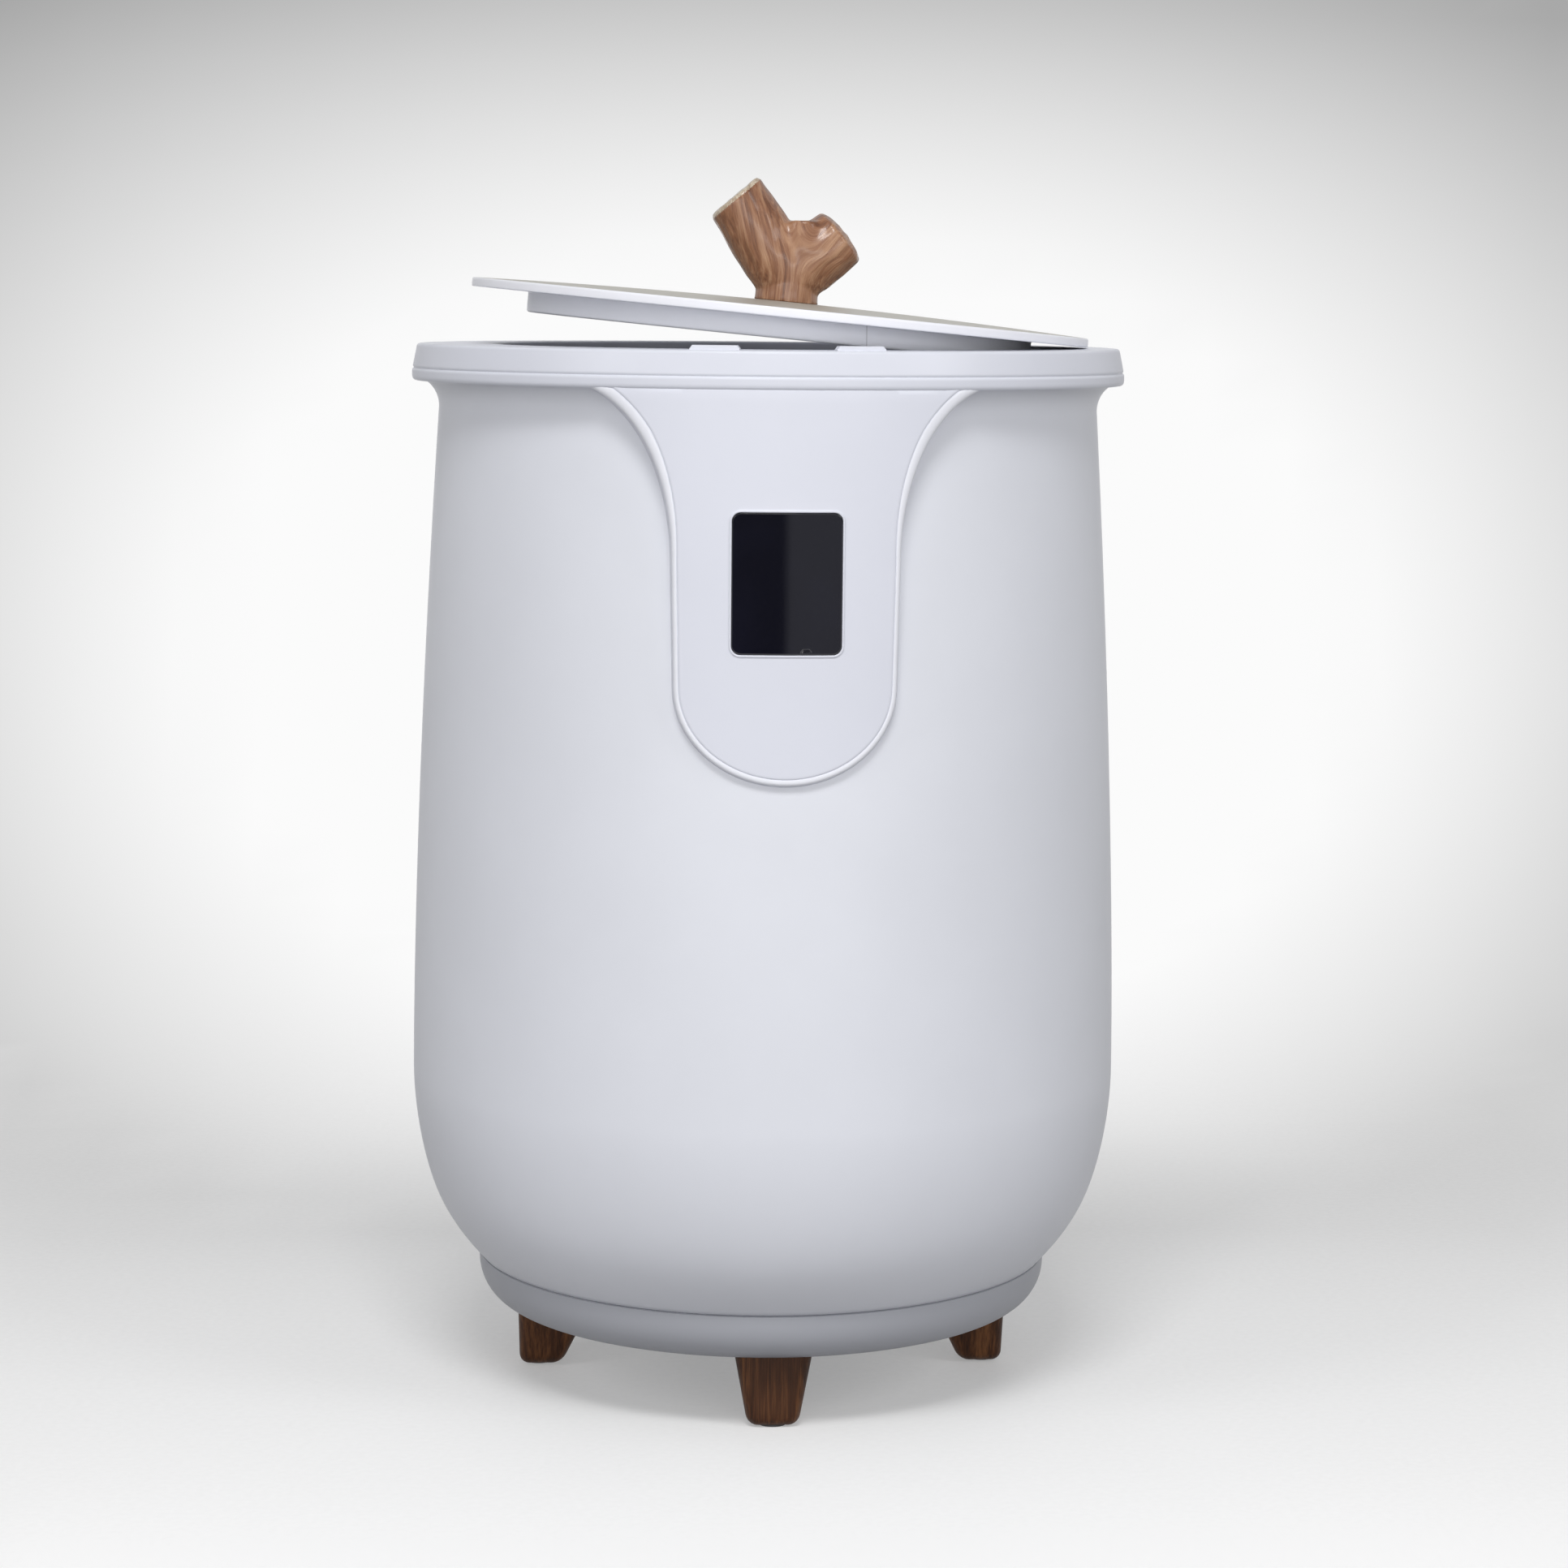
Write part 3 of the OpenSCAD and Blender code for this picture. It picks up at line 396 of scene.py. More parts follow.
@dataclass(frozen=True)
class Walnut(Finish):
    """Lacquered wood with streaks, fibres and pores along its grain.

    Attributes:
        dark: linear colour of the streaks.
        mid: linear colour between them.
        light: linear colour of the lightest wood.
        streaks: frequency of the streaks across the grain, per metre.
        waver: how much the streaks wander.
        gloss: weight of the lacquer.
        stored: name of the vertices' own grain coordinates, with Z along the grain, or none.
    """

    dark: Triple = (0.02, 0.0065, 0.002)
    mid: Triple = (0.056, 0.02, 0.0075)
    light: Triple = (0.18, 0.076, 0.03)
    streaks: float = 120
    waver: float = 1.2
    gloss: float = 0.05
    stored: str = ""

    def build(self, g: Graph) -> None:
        """Builds slow streaks, fine fibres, pores and a lacquer over them.

        Args:
            g: the material's node graph.
        """
        broad = g.noise(g.place((1, 1, 0.25), self.stored), 42, 2)
        streak = g.noise(g.place((1, 0.6, 0.05), self.stored), self.streaks, 3, 0.6)
        streak.node.inputs["Distortion"].default_value = self.waver
        fibre = g.noise(g.place((1, 0.7, 0.03), self.stored), 1300, 3, 0.6)
        tone = g.math("ADD", g.math("MULTIPLY", streak, 0.5), g.math("MULTIPLY", broad, 0.25))
        tone = g.math("ADD", tone, g.math("MULTIPLY", fibre, 0.25))
        colour = g.ramp(tone, [(0.4, self.dark), (0.49, self.mid), (0.64, self.light)])
        pores = g.span(fibre, 0, 1, 0.35, 0.6)
        normal = g.bump(pores, 0.05, g.bump(streak, 0.5))
        g.surface(
            Base_Color=colour, Roughness=g.span(fibre, 0.38, 0.54), Normal=normal,
            Specular_IOR_Level=0.15 + 0.7 * self.gloss, Coat_Weight=self.gloss, Coat_Roughness=0.16,
            IOR=1.5)


@dataclass(frozen=True)
class Metal(Finish):
    """Drawn or plated metal with fine lines.

    Attributes:
        colour: linear colour.
        rough: mean roughness.
        stretch: scale of the lines along X, Y and Z.
    """

    colour: Triple = (0.55, 0.55, 0.57)
    rough: float = 0.3
    stretch: Triple = (1, 1, 12)

    def build(self, g: Graph) -> None:
        """Builds drawn lines and an uneven gloss.

        Args:
            g: the material's node graph.
        """
        at = g.place(self.stretch)
        lines = g.noise(at, 160, 5, 0.65)
        colour = g.ramp(lines, [(0.3, toned(self.colour, 0.8)), (0.7, self.colour)])
        rough = g.span(lines, self.rough - 0.08, self.rough + 0.1)
        g.surface(Base_Color=colour, Metallic=1.0, Roughness=rough, Normal=g.bump(lines, 0.02))


@dataclass(frozen=True)
class Grained(Finish):
    """Any plain matter with its own grain: rubber, felt, board, foil or lead.

    Attributes:
        colour: linear colour.
        rough: mean roughness.
        scale: frequency of the grain per metre.
        depth: depth of the grain in mm.
        weave: whether fine threads cross in the grain.
    """

    colour: Triple = (0.03, 0.03, 0.03)
    rough: float = 0.7
    scale: float = 500
    depth: float = 0.06
    weave: bool = False

    def build(self, g: Graph) -> None:
        """Builds a mottled colour and a bump at the grain's scale.

        Args:
            g: the material's node graph.
        """
        at = g.place()
        grain = g.noise(at, self.scale, 4, 0.65)
        if self.weave:
            across = g.noise(g.place((1, 1, 9)), self.scale, 2)
            grain = g.math("MULTIPLY", g.math("ADD", grain, across), 0.5)
        colour = g.ramp(grain, [(0.3, toned(self.colour, 0.7)), (0.7, self.colour)])
        rough = g.span(grain, self.rough - 0.1, min(1.0, self.rough + 0.15))
        g.surface(Base_Color=colour, Roughness=rough, Normal=g.bump(grain, self.depth))


class Finishes:
    """Every finish of the towel warmer, by what it covers."""

    SHELL = SatinPlastic("shell_satin_white")
    # The base cover is the bucket's white plastic darkened to grey: painted shade on the lowest band.
    BASE_PAINTED_SHADE = SatinPlastic("base_satin_grey_painted_shade", colour=(0.41, 0.42, 0.46), rough=0.46)
    # The rim is a slightly darker, bluer white than the shell; the darkening is painted shade, and the cord
    # gland and its nut share it.
    RIM = SatinPlastic("rim_satin_white_painted_shade", colour=(0.71, 0.725, 0.8), rough=0.38, grain=0.008)
    PANEL = SatinPlastic("panel_satin_white", colour=(0.735, 0.75, 0.83), rough=0.38, grain=0.008)
    # The panel's bead is the same white made lighter and glossier: the lighter colour is a painted highlight.
    BEAD_PAINTED_HIGHLIGHT = SatinPlastic("bead_gloss_white_painted_highlight", colour=(0.82, 0.83, 0.89), rough=0.32, grain=0.004)
    LID = SatinPlastic("lid_satin_white", colour=(0.87, 0.875, 0.93), rough=0.34, grain=0.008)
    # The lid's upward faces take its white darkened to a warm grey: painted shade on the top.
    LID_TOP_PAINTED_SHADE = SatinPlastic("lid_top_warm_grey_painted_shade", colour=(0.44, 0.42, 0.37), rough=0.36, grain=0.02)
    # The pan is a brighter white than the shell: painted light on its skirt, which lies in the lid plate's
    # shadow.
    PAN_PAINTED_LIGHT = SatinPlastic("lid_pan_white_painted_light", colour=(0.92, 0.93, 0.98), rough=0.42, seam_x=35.8)
    GLASS = DisplayGlass("display_smoked_glass")
    FOOT = Walnut("foot_dark_walnut")
    HANDLE = Walnut(
        "handle_red_walnut", dark=(0.15, 0.058, 0.027), mid=(0.26, 0.113, 0.054), light=(0.46, 0.26, 0.15),
        streaks=260, gloss=0.45, stored="grain")
    HANDLE_END = Walnut(
        "handle_cut_end", dark=(0.34, 0.25, 0.17), mid=(0.52, 0.43, 0.32), light=(0.66, 0.58, 0.46),
        streaks=500, gloss=0.5, stored="grain")
    LINER = Metal("liner_black_anodised", colour=(0.035, 0.035, 0.04), rough=0.42)
    ZINC = Metal("screw_zinc", colour=(0.6, 0.6, 0.62), rough=0.3, stretch=(1, 1, 1))
    CLIP = Metal("clip_steel", colour=(0.5, 0.5, 0.52), rough=0.36, stretch=(6, 1, 1))
    RUBBER = Grained("pad_rubber", colour=(0.02, 0.02, 0.022), rough=0.75)
    FELT = Grained("insulation_felt", colour=(0.62, 0.58, 0.48), rough=0.9, scale=700, depth=0.3, weave=True)
    FOIL = Grained(
        "heater_silicone", colour=(0.42, 0.12, 0.04), rough=0.55, scale=300, depth=0.08, weave=True)
    BOARD = Grained("board_green", colour=(0.02, 0.12, 0.05), rough=0.35, scale=1500, depth=0.02, weave=True)
    CERAMIC = Grained("ceramic_buff", colour=(0.55, 0.5, 0.42), rough=0.6, scale=900, depth=0.03)
    RELAY = Grained("relay_blue", colour=(0.02, 0.08, 0.3), rough=0.4, scale=1200, depth=0.02)
    TAPE = Grained("transformer_tape", colour=(0.6, 0.42, 0.08), rough=0.4, scale=200, depth=0.04, weave=True)
    SLEEVE = Grained("capacitor_sleeve", colour=(0.02, 0.02, 0.03), rough=0.35, scale=1200, depth=0.01)
    TERMINAL = Grained("terminal_green", colour=(0.04, 0.25, 0.08), rough=0.45, scale=1400, depth=0.02)
    DIGITS = Grained("digit_block_black", colour=(0.02, 0.02, 0.022), rough=0.45, scale=1600, depth=0.02)
    LEAD_RED = Grained("lead_red", colour=(0.5, 0.04, 0.02), rough=0.45, scale=1500, depth=0.02)
    LEAD_WHITE = Grained("lead_white", colour=(0.7, 0.68, 0.62), rough=0.5, scale=1500, depth=0.02)


# Mesh making


def clamp(value: float) -> float:
    """Keeps a value from 0 to 1."""
    return max(0.0, min(1.0, value))


def fade(value: float, band: Point) -> float:
    """Falls from 1 to 0 over a band, which says where the fall ends and how wide it is."""
    return clamp((band[0] - value) / band[1])


def quarter(steps: int) -> list[float]:
    """Gives the angles of a quarter turn in equal steps, from 0."""
    return [math.pi / 2 * i / steps for i in range(steps + 1)]


def curve(start: Vector, corner: Vector, end: Vector, steps: int) -> list[Point]:
    """Gives a curve that leaves its start toward a corner and reaches its end from there.

    Args:
        start: where it starts.
        corner: the corner that it rounds.
        end: where it ends.
        steps: its pieces.

    Returns:
        Its points, with both ends.
    """
    shares = [k / steps for k in range(steps + 1)]
    return [tuple(start * (1 - t) ** 2 + corner * 2 * t * (1 - t) + end * t * t) for t in shares]


def as_object(name: str, bm: BMesh, sharp: float = 32) -> Piece:
    """Turns a bmesh into a linked object with smooth faces.

    Args:
        name: the piece's name.
        bm: the finished bmesh, which is freed.
        sharp: edges bent more than this many degrees stay sharp.

    Returns:
        The new object.
    """
    bmesh.ops.remove_doubles(bm, verts=bm.verts, dist=1e-7)
    bmesh.ops.recalc_face_normals(bm, faces=bm.faces)
    mesh = bpy.data.meshes.new(name)
    bm.to_mesh(mesh)
    bm.free()
    for face in mesh.polygons:
        face.use_smooth = True
    mesh.set_sharp_from_angle(angle=math.radians(sharp))
    obj = bpy.data.objects.new(name, mesh)
    bpy.context.scene.collection.objects.link(obj)
    return obj


def join_rings(bm: BMesh, low: Ring, high: Ring, closed: bool = True, finish: int = 0) -> None:
    """Joins two rings of vertices with faces; a ring of one vertex is a pole.

    Args:
        bm: the mesh.
        low: first ring.
        high: second ring.
        closed: whether the rings close on themselves.
        finish: which of the piece's finishes the faces take.
    """
    if len(low) == 1 and len(high) == 1:
        return
    count = max(len(low), len(high))
    for i in range(count if closed else count - 1):
        j = (i + 1) % count
        corners = [low[i % len(low)], low[j % len(low)], high[j % len(high)], high[i % len(high)]]
        corners = list(dict.fromkeys(corners))
        if len(corners) > 2:
            bm.faces.new(corners).material_index = finish


def join_all(bm: BMesh, rings: Sequence[Ring], closed: bool = True, second: Sequence[int] = ()) -> None:
    """Joins each ring to the next.

    Args:
        bm: the mesh.
        rings: the rings in order.
        closed: whether the rings close on themselves.
        second: which bands between rings take the piece's second finish.
    """
    for i, (low, high) in enumerate(zip(rings, rings[1:])):
        join_rings(bm, low, high, closed, int(i in second))


def rounded(corners: Sequence[Triple], steps: int = 5) -> list[Point]:
    """Rounds the corners of an outline.

    Args:
        corners: points with the length that each corner's round takes from its edges.
        steps: pieces in each round.

    Returns:
        The outline with its rounds.
    """
    points: list[Point] = []
    for i, (x, y, size) in enumerate(corners):
        here = Vector((x, y))
        if size <= 0:
            points.append((x, y))
            continue
        to_last = Vector(corners[i - 1][:2]) - here
        to_next = Vector(corners[(i + 1) % len(corners)][:2]) - here
        start = here + to_last.normalized() * min(size, to_last.length * 0.48)
        end = here + to_next.normalized() * min(size, to_next.length * 0.48)
        points.extend(curve(start, here, end, steps))
    return points


def add_lathe(bm: BMesh, profile: Sequence[Point], segments: int) -> None:
    """Turns a closed outline of radius and height about Z.

    Args:
        bm: the mesh to add to.
        profile: points in mm, in order round the outline.
        segments: pieces round the turn.
    """
    rings = []
    for r, z in profile:
        turns = [0.0] if r < 1e-6 else [math.tau * i / segments for i in range(segments)]
        rings.append([bm.verts.new((r * MM * math.cos(a), r * MM * math.sin(a), z * MM)) for a in turns])
    join_all(bm, rings + rings[:1])


def lathe(name: str, profile: Sequence[Point], segments: int = ROUND, sharp: float = 40) -> Piece:
    """Makes an object by turning a closed outline about Z.

    Args:
        name: the piece's name.
        profile: points in mm.
        segments: pieces round the turn.
        sharp: edges bent more than this many degrees stay sharp.

    Returns:
        The new object.
    """
    bm = bmesh.new()
    add_lathe(bm, profile, segments)
    return as_object(name, bm, sharp)


def inside(point: Vector, outline: Sequence[Point]) -> bool:
    """Tells whether a point lies inside a closed outline.

    Args:
        point: the point.
        outline: the outline's corners.

    Returns:
        True inside.
    """
    x, y = point[0], point[1]
    odd = False
    for (x0, y0), (x1, y1) in zip(outline, list(outline[1:]) + [outline[0]]):
        if (y0 > y) != (y1 > y) and x < (x1 - x0) * (y - y0) / (y1 - y0) + x0:
            odd = not odd
    return odd


def wrap(x: float, z: float, r: float) -> Vector:
    """Puts a point of the front view, in mm, on a face of radius r, and gives the place in metres."""
    return Vector((x, -math.sqrt(max(r * r - x * x, 0)), z)) * MM


def flat(ring: Level) -> list[Point]:
    """Gives a ring's points in the front view."""
    return [(x, z) for x, z, _ in ring]


def add_patch(
    bm: BMesh, outline: Sequence[Point], holes: Sequence[Sequence[Point]], radius: Callable[[float], float],
    step: float
) -> None:
    """Fills an outline on a round face with an even mesh.

    Args:
        bm: the mesh to add to.
        outline: the edge in the front view, in mm.
        holes: outlines left open.
        radius: gives the face's radius at a height.
        step: distance between the inner points.
    """
    loops = [list(outline), *[list(h) for h in holes]]
    points: list[Point] = []
    edges: list[tuple[int, int]] = []
    for loop in loops:
        start = len(points)
        points.extend(loop)
        edges.extend((start + i, start + (i + 1) % len(loop)) for i in range(len(loop)))
    edge_points = [Vector(p) for p in points]
    xs = [p[0] for p in outline]
    zs = [p[1] for p in outline]
    for i in range(int((max(xs) - min(xs)) / step) + 1):
        for k in range(int((max(zs) - min(zs)) / step) + 1):
            place = Vector((min(xs) + (i + 0.5) * step, min(zs) + (k + 0.5) * step))
            if not inside(place, outline) or any(inside(place, h) for h in holes):
                continue
            if min((place - e).length_squared for e in edge_points) > (step * 0.5) ** 2:
                points.append(tuple(place))
    spots, _, faces, *_ = delaunay_2d_cdt([Vector(p) for p in points], edges, [], 0, 1e-5)
    verts = [bm.verts.new(wrap(p[0], p[1], radius(p[1]))) for p in spots]
    for face in faces:
        middle = sum((spots[i] for i in face), Vector((0, 0))) / len(face)
        if inside(middle, outline) and not any(inside(middle, h) for h in holes):
            bm.faces.new([verts[i] for i in face])


def add_levels(bm: BMesh, levels: Sequence[Level], second: Sequence[int] = ()) -> None:
    """Joins closed rings of x, z and radius that lie on round faces.

    Args:
        bm: the mesh to add to.
        levels: rings with the same number of points.
        second: which bands between rings take the piece's second finish.
    """
    join_all(bm, [[bm.verts.new(wrap(*p)) for p in level] for level in levels], second=second)


def rounded_window(
    width: float, height: float, corner: float, middle_z: float, corner_steps: int = 10, side_steps: int = 14
) -> list[Point]:
    """Gives the outline of a window with round corners.

    Args:
        width: its width in mm.
        height: its height in mm.
        corner: its corner radius in mm.
        middle_z: height of its middle.
        corner_steps: pieces in each round corner.
        side_steps: pieces in each straight side.

    Returns:
        The outline, from the lower right corner round.
    """
    points: list[Point] = []
    for turn, (sx, sz) in enumerate(((1, -1), (1, 1), (-1, 1), (-1, -1))):
        for i in range(corner_steps + 1):
            a = math.radians(-90 + 90 * turn + 90 * i / corner_steps)
            points.append((
                sx * (width / 2 - corner) + corner * math.cos(a),
                middle_z + sz * (height / 2 - corner) + corner * math.sin(a)))
    full: list[Point] = []
    for i, here in enumerate(points):
        full.append(here)
        if i % (corner_steps + 1) == corner_steps:
            there = Vector(points[(i + 1) % len(points)])
            full.extend(tuple(Vector(here).lerp(there, k / side_steps)) for k in range(1, side_steps))
    return full


def dress(
    obj: Piece, finish: Finish, body: BodyName, slot: Slot, *nodes: str, second: Optional[Finish] = None
) -> None:
    """Gives a new piece its finishes, its body and the nodes that it stands for.

    Args:
        obj: the piece.
        finish: its finish.
        body: the body that it rides on.
        slot: the record's slot for it; not used.
        nodes: the CAD nodes that it replaces.
        second: the finish of the faces marked 1.
    """
    obj.data.materials.append(finish.material())
    if second is not None:
        obj.data.materials.append(second.material())
    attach(obj, body.value)
    if nodes:
        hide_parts(*nodes)
    stands_for = ", ".join(nodes) or "itself"
    faces = len(obj.data.polygons)
    log.info("%s: %d faces, rides on %s, stands for %s", obj.name, faces, body.value, stands_for)


# Bucket


@dataclass(frozen=True)
class BucketForm:
    """The bucket's outline, shared by its shell, base, rim and panel.

    Attributes:
        foot_h: height of the underside above the floor.
        seam_z: height of the seam between shell and base.
        flange_z: height of the rim's lower edge.
        rim_z: height of the rim's top.
        body_r: largest radius.
        neck_r: radius below the rim.
        seam_r: radius at the seam.
        rim_r: radius of the rim at its lower edge.
        rim_top_r: radius of the rim at its top.
        belly_h: height of the widest place above the seam.
        taper_power: how the wall's taper to the neck grows, 1 for a straight one.
        shoulder_w: how far the shoulder below the widest place would draw in.
        shoulder_h: over what height.
        shoulder_power: how round the shoulder is, 2 for an ellipse.
        flare_h: height of the flared foot above the seam.
        cove_h: height of the cove below the rim.
        wall: wall of the shell.
        groove: depth of the groove at the seam.
        rim_gap: from the top of the cove to the rim's radius.
    """

    foot_h: float = 33.4
    seam_z: float = 55.6
    flange_z: float = 456.0
    rim_z: float = 471.0
    body_r: float = 160.9
    neck_r: float = 148.6
    seam_r: float = 130.8
    rim_r: float = 160.6
    rim_top_r: float = 158.2
    belly_h: float = 86.0
    taper_power: float = 1.6
    shoulder_w: float = 23.0
    shoulder_h: float = 72.4
    shoulder_power: float = 1.75
    flare_h: float = 24.4
    cove_h: float = 13.0
    wall: float = 2.2
    groove: float = 1.3
    rim_gap: float = 0.6

    @property
    def belly_z(self) -> float:
        """Height of the widest place."""
        return self.seam_z + self.belly_h

    @property
    def cove_z(self) -> float:
        """Height at which the cove below the rim starts."""
        return self.flange_z - self.cove_h

    def radius(self, z: float) -> float:
        """Gives the shell's outer radius.

        Args:
            z: a height from the top of the flare up to the cove.

        Returns:
            The radius in mm.
        """
        if z >= self.belly_z:
            rise = clamp((z - self.belly_z) / (self.cove_z - self.belly_z))
            return self.body_r - (self.body_r - self.neck_r) * rise**self.taper_power
        drop = (self.belly_z - z) / self.shoulder_h
        curve = max(0.0, 1 - drop**self.shoulder_power) ** (1 / self.shoulder_power)
        return self.body_r - self.shoulder_w * (1 - curve)

    def outline(self) -> list[Point]:
        """Gives the outer outline from the seam to the rim's lower edge.

        Returns:
            Points of radius and height.
        """
        flare_z = self.seam_z + self.flare_h
        start = Vector((self.seam_r, self.seam_z + 0.4))
        end = Vector((self.radius(flare_z), flare_z))
        lean = (self.radius(flare_z + 0.5) - self.radius(flare_z)) / 0.5
        bend = end - Vector((lean, 1)) * 0.5 * self.flare_h
        points = [(self.seam_r - self.groove, self.seam_z), *curve(start, bend, end, 14)]
        for a in quarter(28)[1:]:
            z = flare_z + (self.belly_z - flare_z) * math.sin(a)
            points.append((self.radius(z), z))
        for i in range(1, 33):
            z = self.belly_z + (self.cove_z - self.belly_z) * i / 32
            points.append((self.radius(z), z))
        reach = self.rim_r - self.rim_gap - self.neck_r
        for i in range(1, 19):
            a = math.radians(79.5 * i / 18)
            points.append((self.neck_r + reach * (1 - math.cos(a)), self.cove_z + self.cove_h * math.sin(a)))
        return points


FORM = BucketForm()


@dataclass
class Bucket:
    """The moulded shell, the base cover below it and the rim above it.

    Attributes:
        flange_in_r: inner radius of the shell's flange.
        flange_t: thickness of that flange.
        ring_in_r: inner radius of the ring at the shell's foot.
        ring_t: thickness of that ring and of the base.
        floor_r: radius at which the flat underside ends.
        base_h: height of the base cover's upright edge.
        mouth_r: radius of the rim's mouth.
        rim_wall: wall of the rim.
        crease_h: height of the rim's crease above its lower edge.
        hem_h: how far the rim's rounded hem hangs below that edge.
        tab_x: distance of the rim's tabs from its middle.
        tab_w: width of a tab.
        tab_h: height of a tab above the rim.
        tab_d: depth of a tab.
        tab_sunk: how far a tab reaches into the rim.
        gland_z: height of the cord gland.
        gland_bore_r: radius of the gland's bore.
        gland_body_r: radius of its body.
        gland_flange_r: radius of its flange.
        gland_in_r: how far from the bucket's axis the body starts.
        gland_wall_r: how far out the flange starts.
    """

    flange_in_r: float = 129.0
    flange_t: float = 2.5
    ring_in_r: float = 98.0
    ring_t: float = 2.5
    floor_r: float = 115.0
    base_h: float = 4.0
    mouth_r: float = 124.0
    rim_wall: float = 2.5
    crease_h: float = 4.2
    hem_h: float = 1.3
    tab_x: float = 31.0
    tab_w: float = 21.0
    tab_h: float = 2.0
    tab_d: float = 6.0
    tab_sunk: float = 0.5
    gland_z: float = 100.0
    gland_bore_r: float = 3.6
    gland_body_r: float = 6.5
    gland_flange_r: float = 9.0
    gland_in_r: float = 141.3
    gland_wall_r: float = 152.4

    def shell(self) -> Piece:
        """Makes the shell as one smooth turned wall.

        Returns:
            The shell.
        """
        outer = FORM.outline()
        flange_top = FORM.flange_z + self.flange_t
        neck_in = FORM.neck_r - FORM.wall
        inner = [(r - FORM.wall, z) for r, z in outer if FORM.seam_z + 3 < z <= FORM.cove_z][::-2]
        ring_top = FORM.seam_z + self.ring_t
        profile = [
            *outer, (outer[-1][0] + 0.1, flange_top), (self.flange_in_r, flange_top),
            (self.flange_in_r, FORM.flange_z), (neck_in, FORM.flange_z),
            *inner, (FORM.seam_r - FORM.wall, ring_top), (self.ring_in_r, ring_top),
            (self.ring_in_r, FORM.seam_z)]
        return lathe("bucket_shell", profile)

    def base(self) -> Piece:
        """Makes the base cover with a fine groove at its seam.

        Returns:
            The base cover.
        """
        low, top = FORM.foot_h, FORM.seam_z
        bend = FORM.seam_z - self.base_h
        width = FORM.seam_r - self.floor_r
        outer = [
            (self.floor_r + width * math.cos(a), bend - (bend - low) * math.sin(a))
            for a in quarter(14)]
        inner = [
            (self.floor_r - 2 + (width - 0.2) * math.cos(a), bend - (bend - low - self.ring_t) * math.sin(a))
            for a in reversed(quarter(8))]
        profile = [
            (FORM.seam_r - FORM.groove, top), (FORM.seam_r - 0.1, top - 0.45),
            *outer, (0, low), (0, low + self.ring_t), *inner, (FORM.seam_r - FORM.wall, top)]
        return lathe("base_shell", profile)

    def rim(self) -> Piece:
        """Makes the rim collar with its two low tabs.

        Returns:
            The rim.
        """
        top, low, r = FORM.rim_z, FORM.flange_z, FORM.rim_r
        lip = low + self.flange_t + 1.5
        under = top - self.rim_wall
        band_in = r - self.rim_wall
        crease, hem = low + self.crease_h, low - self.hem_h
        profile = rounded([
            (self.mouth_r, lip, 0), (self.mouth_r, top, 1.2), (FORM.rim_top_r, top, 1.5),
            (r - 0.35, crease + 0.8, 0.7), (r - 0.85, crease, 0.3), (r, crease - 0.7, 0.8),
            (r, hem + 1.2, 1.2), (r - 0.9, hem, 0.7), (band_in, hem, 0),
            (band_in, low + 3, 0), (FORM.rim_top_r - 2, under, 0),
            (self.mouth_r + self.rim_wall, under, 0), (self.mouth_r + self.rim_wall, lip, 0)], 7)
        bm = bmesh.new()
        add_lathe(bm, profile, ROUND)
        for side in (-1, 1):
            self.add_tab(bm, side * math.asin(self.tab_x / FORM.rim_top_r))
        return as_object("rim_band", bm)

    def add_tab(self, bm: BMesh, turn: float) -> None:
        """Adds one low tab that follows the rim.

        Args:
            bm: the rim's mesh.
            turn: where its middle is, from the front, in radians.
        """
        outer = FORM.rim_top_r - 2.0
        inner = outer - self.tab_d
        low = FORM.rim_z - self.tab_sunk
        top = FORM.rim_z + self.tab_h
        half = self.tab_w / 2 / outer
        section = rounded([(inner, low, 0), (outer, low, 0), (outer, top, 0.9), (inner, top, 0.9)], 4)
        rings = []
        steps = 22
        for i in range(steps + 1):
            t = -1 + 2 * i / steps
            a = turn + half * t
            shrink = min(1.0, (1 - abs(t)) * 10 + 0.35)
            ring = []
            for r, z in section:
                z = low + (z - FORM.rim_z + self.tab_sunk) * (0.2 + 0.8 * shrink)
                ring.append(bm.verts.new((r * MM * math.sin(a), -r * MM * math.cos(a), z * MM)))
            rings.append(ring)
        join_all(bm, rings)
        bm.faces.new(rings[0])
        bm.faces.new(rings[-1])

    def gland(self) -> Piece:
        """Makes the cord gland with a round flange and a stepped nose.

        Returns:
            The gland, low at the back.
        """
        face = FORM.rim_r - 1.1
        bore, body, flange = self.gland_bore_r, self.gland_body_r, self.gland_flange_r
        start, wall = self.gland_in_r, self.gland_wall_r
        profile = rounded([
            (bore, start, 0.3), (body, start, 0.5), (body, wall, 0), (flange, wall, 0),
            (flange, face - 1.2, 1.2), (7.4, face - 0.9, 0.3), (6.2, face, 0.5), (bore, face, 0.8)])
        obj = lathe("cord_inlet", profile, 64, 32)
        turn = Matrix.Translation((0, 0, self.gland_z * MM)) @ Matrix.Rotation(-math.pi / 2, 4, "X")
        obj.data.transform(turn)
        return obj

    def build(self) -> None:
        """Builds and dresses the bucket's mouldings."""
        dress(self.shell(), Finishes.SHELL, BodyName.BUCKET, Slot.SHELL, "outer_shell")
        # The base cover takes the white darkened as painted shade.
        dress(self.base(), Finishes.BASE_PAINTED_SHADE, BodyName.BUCKET, Slot.SHELL, "base_cover")
        # The rim and the gland take the rim's white, darkened as painted shade.
        dress(self.rim(), Finishes.RIM, BodyName.BUCKET, Slot.RIM, "rim_collar")
        dress(self.gland(), Finishes.RIM, BodyName.BUCKET, Slot.RIM, "cord_gland")


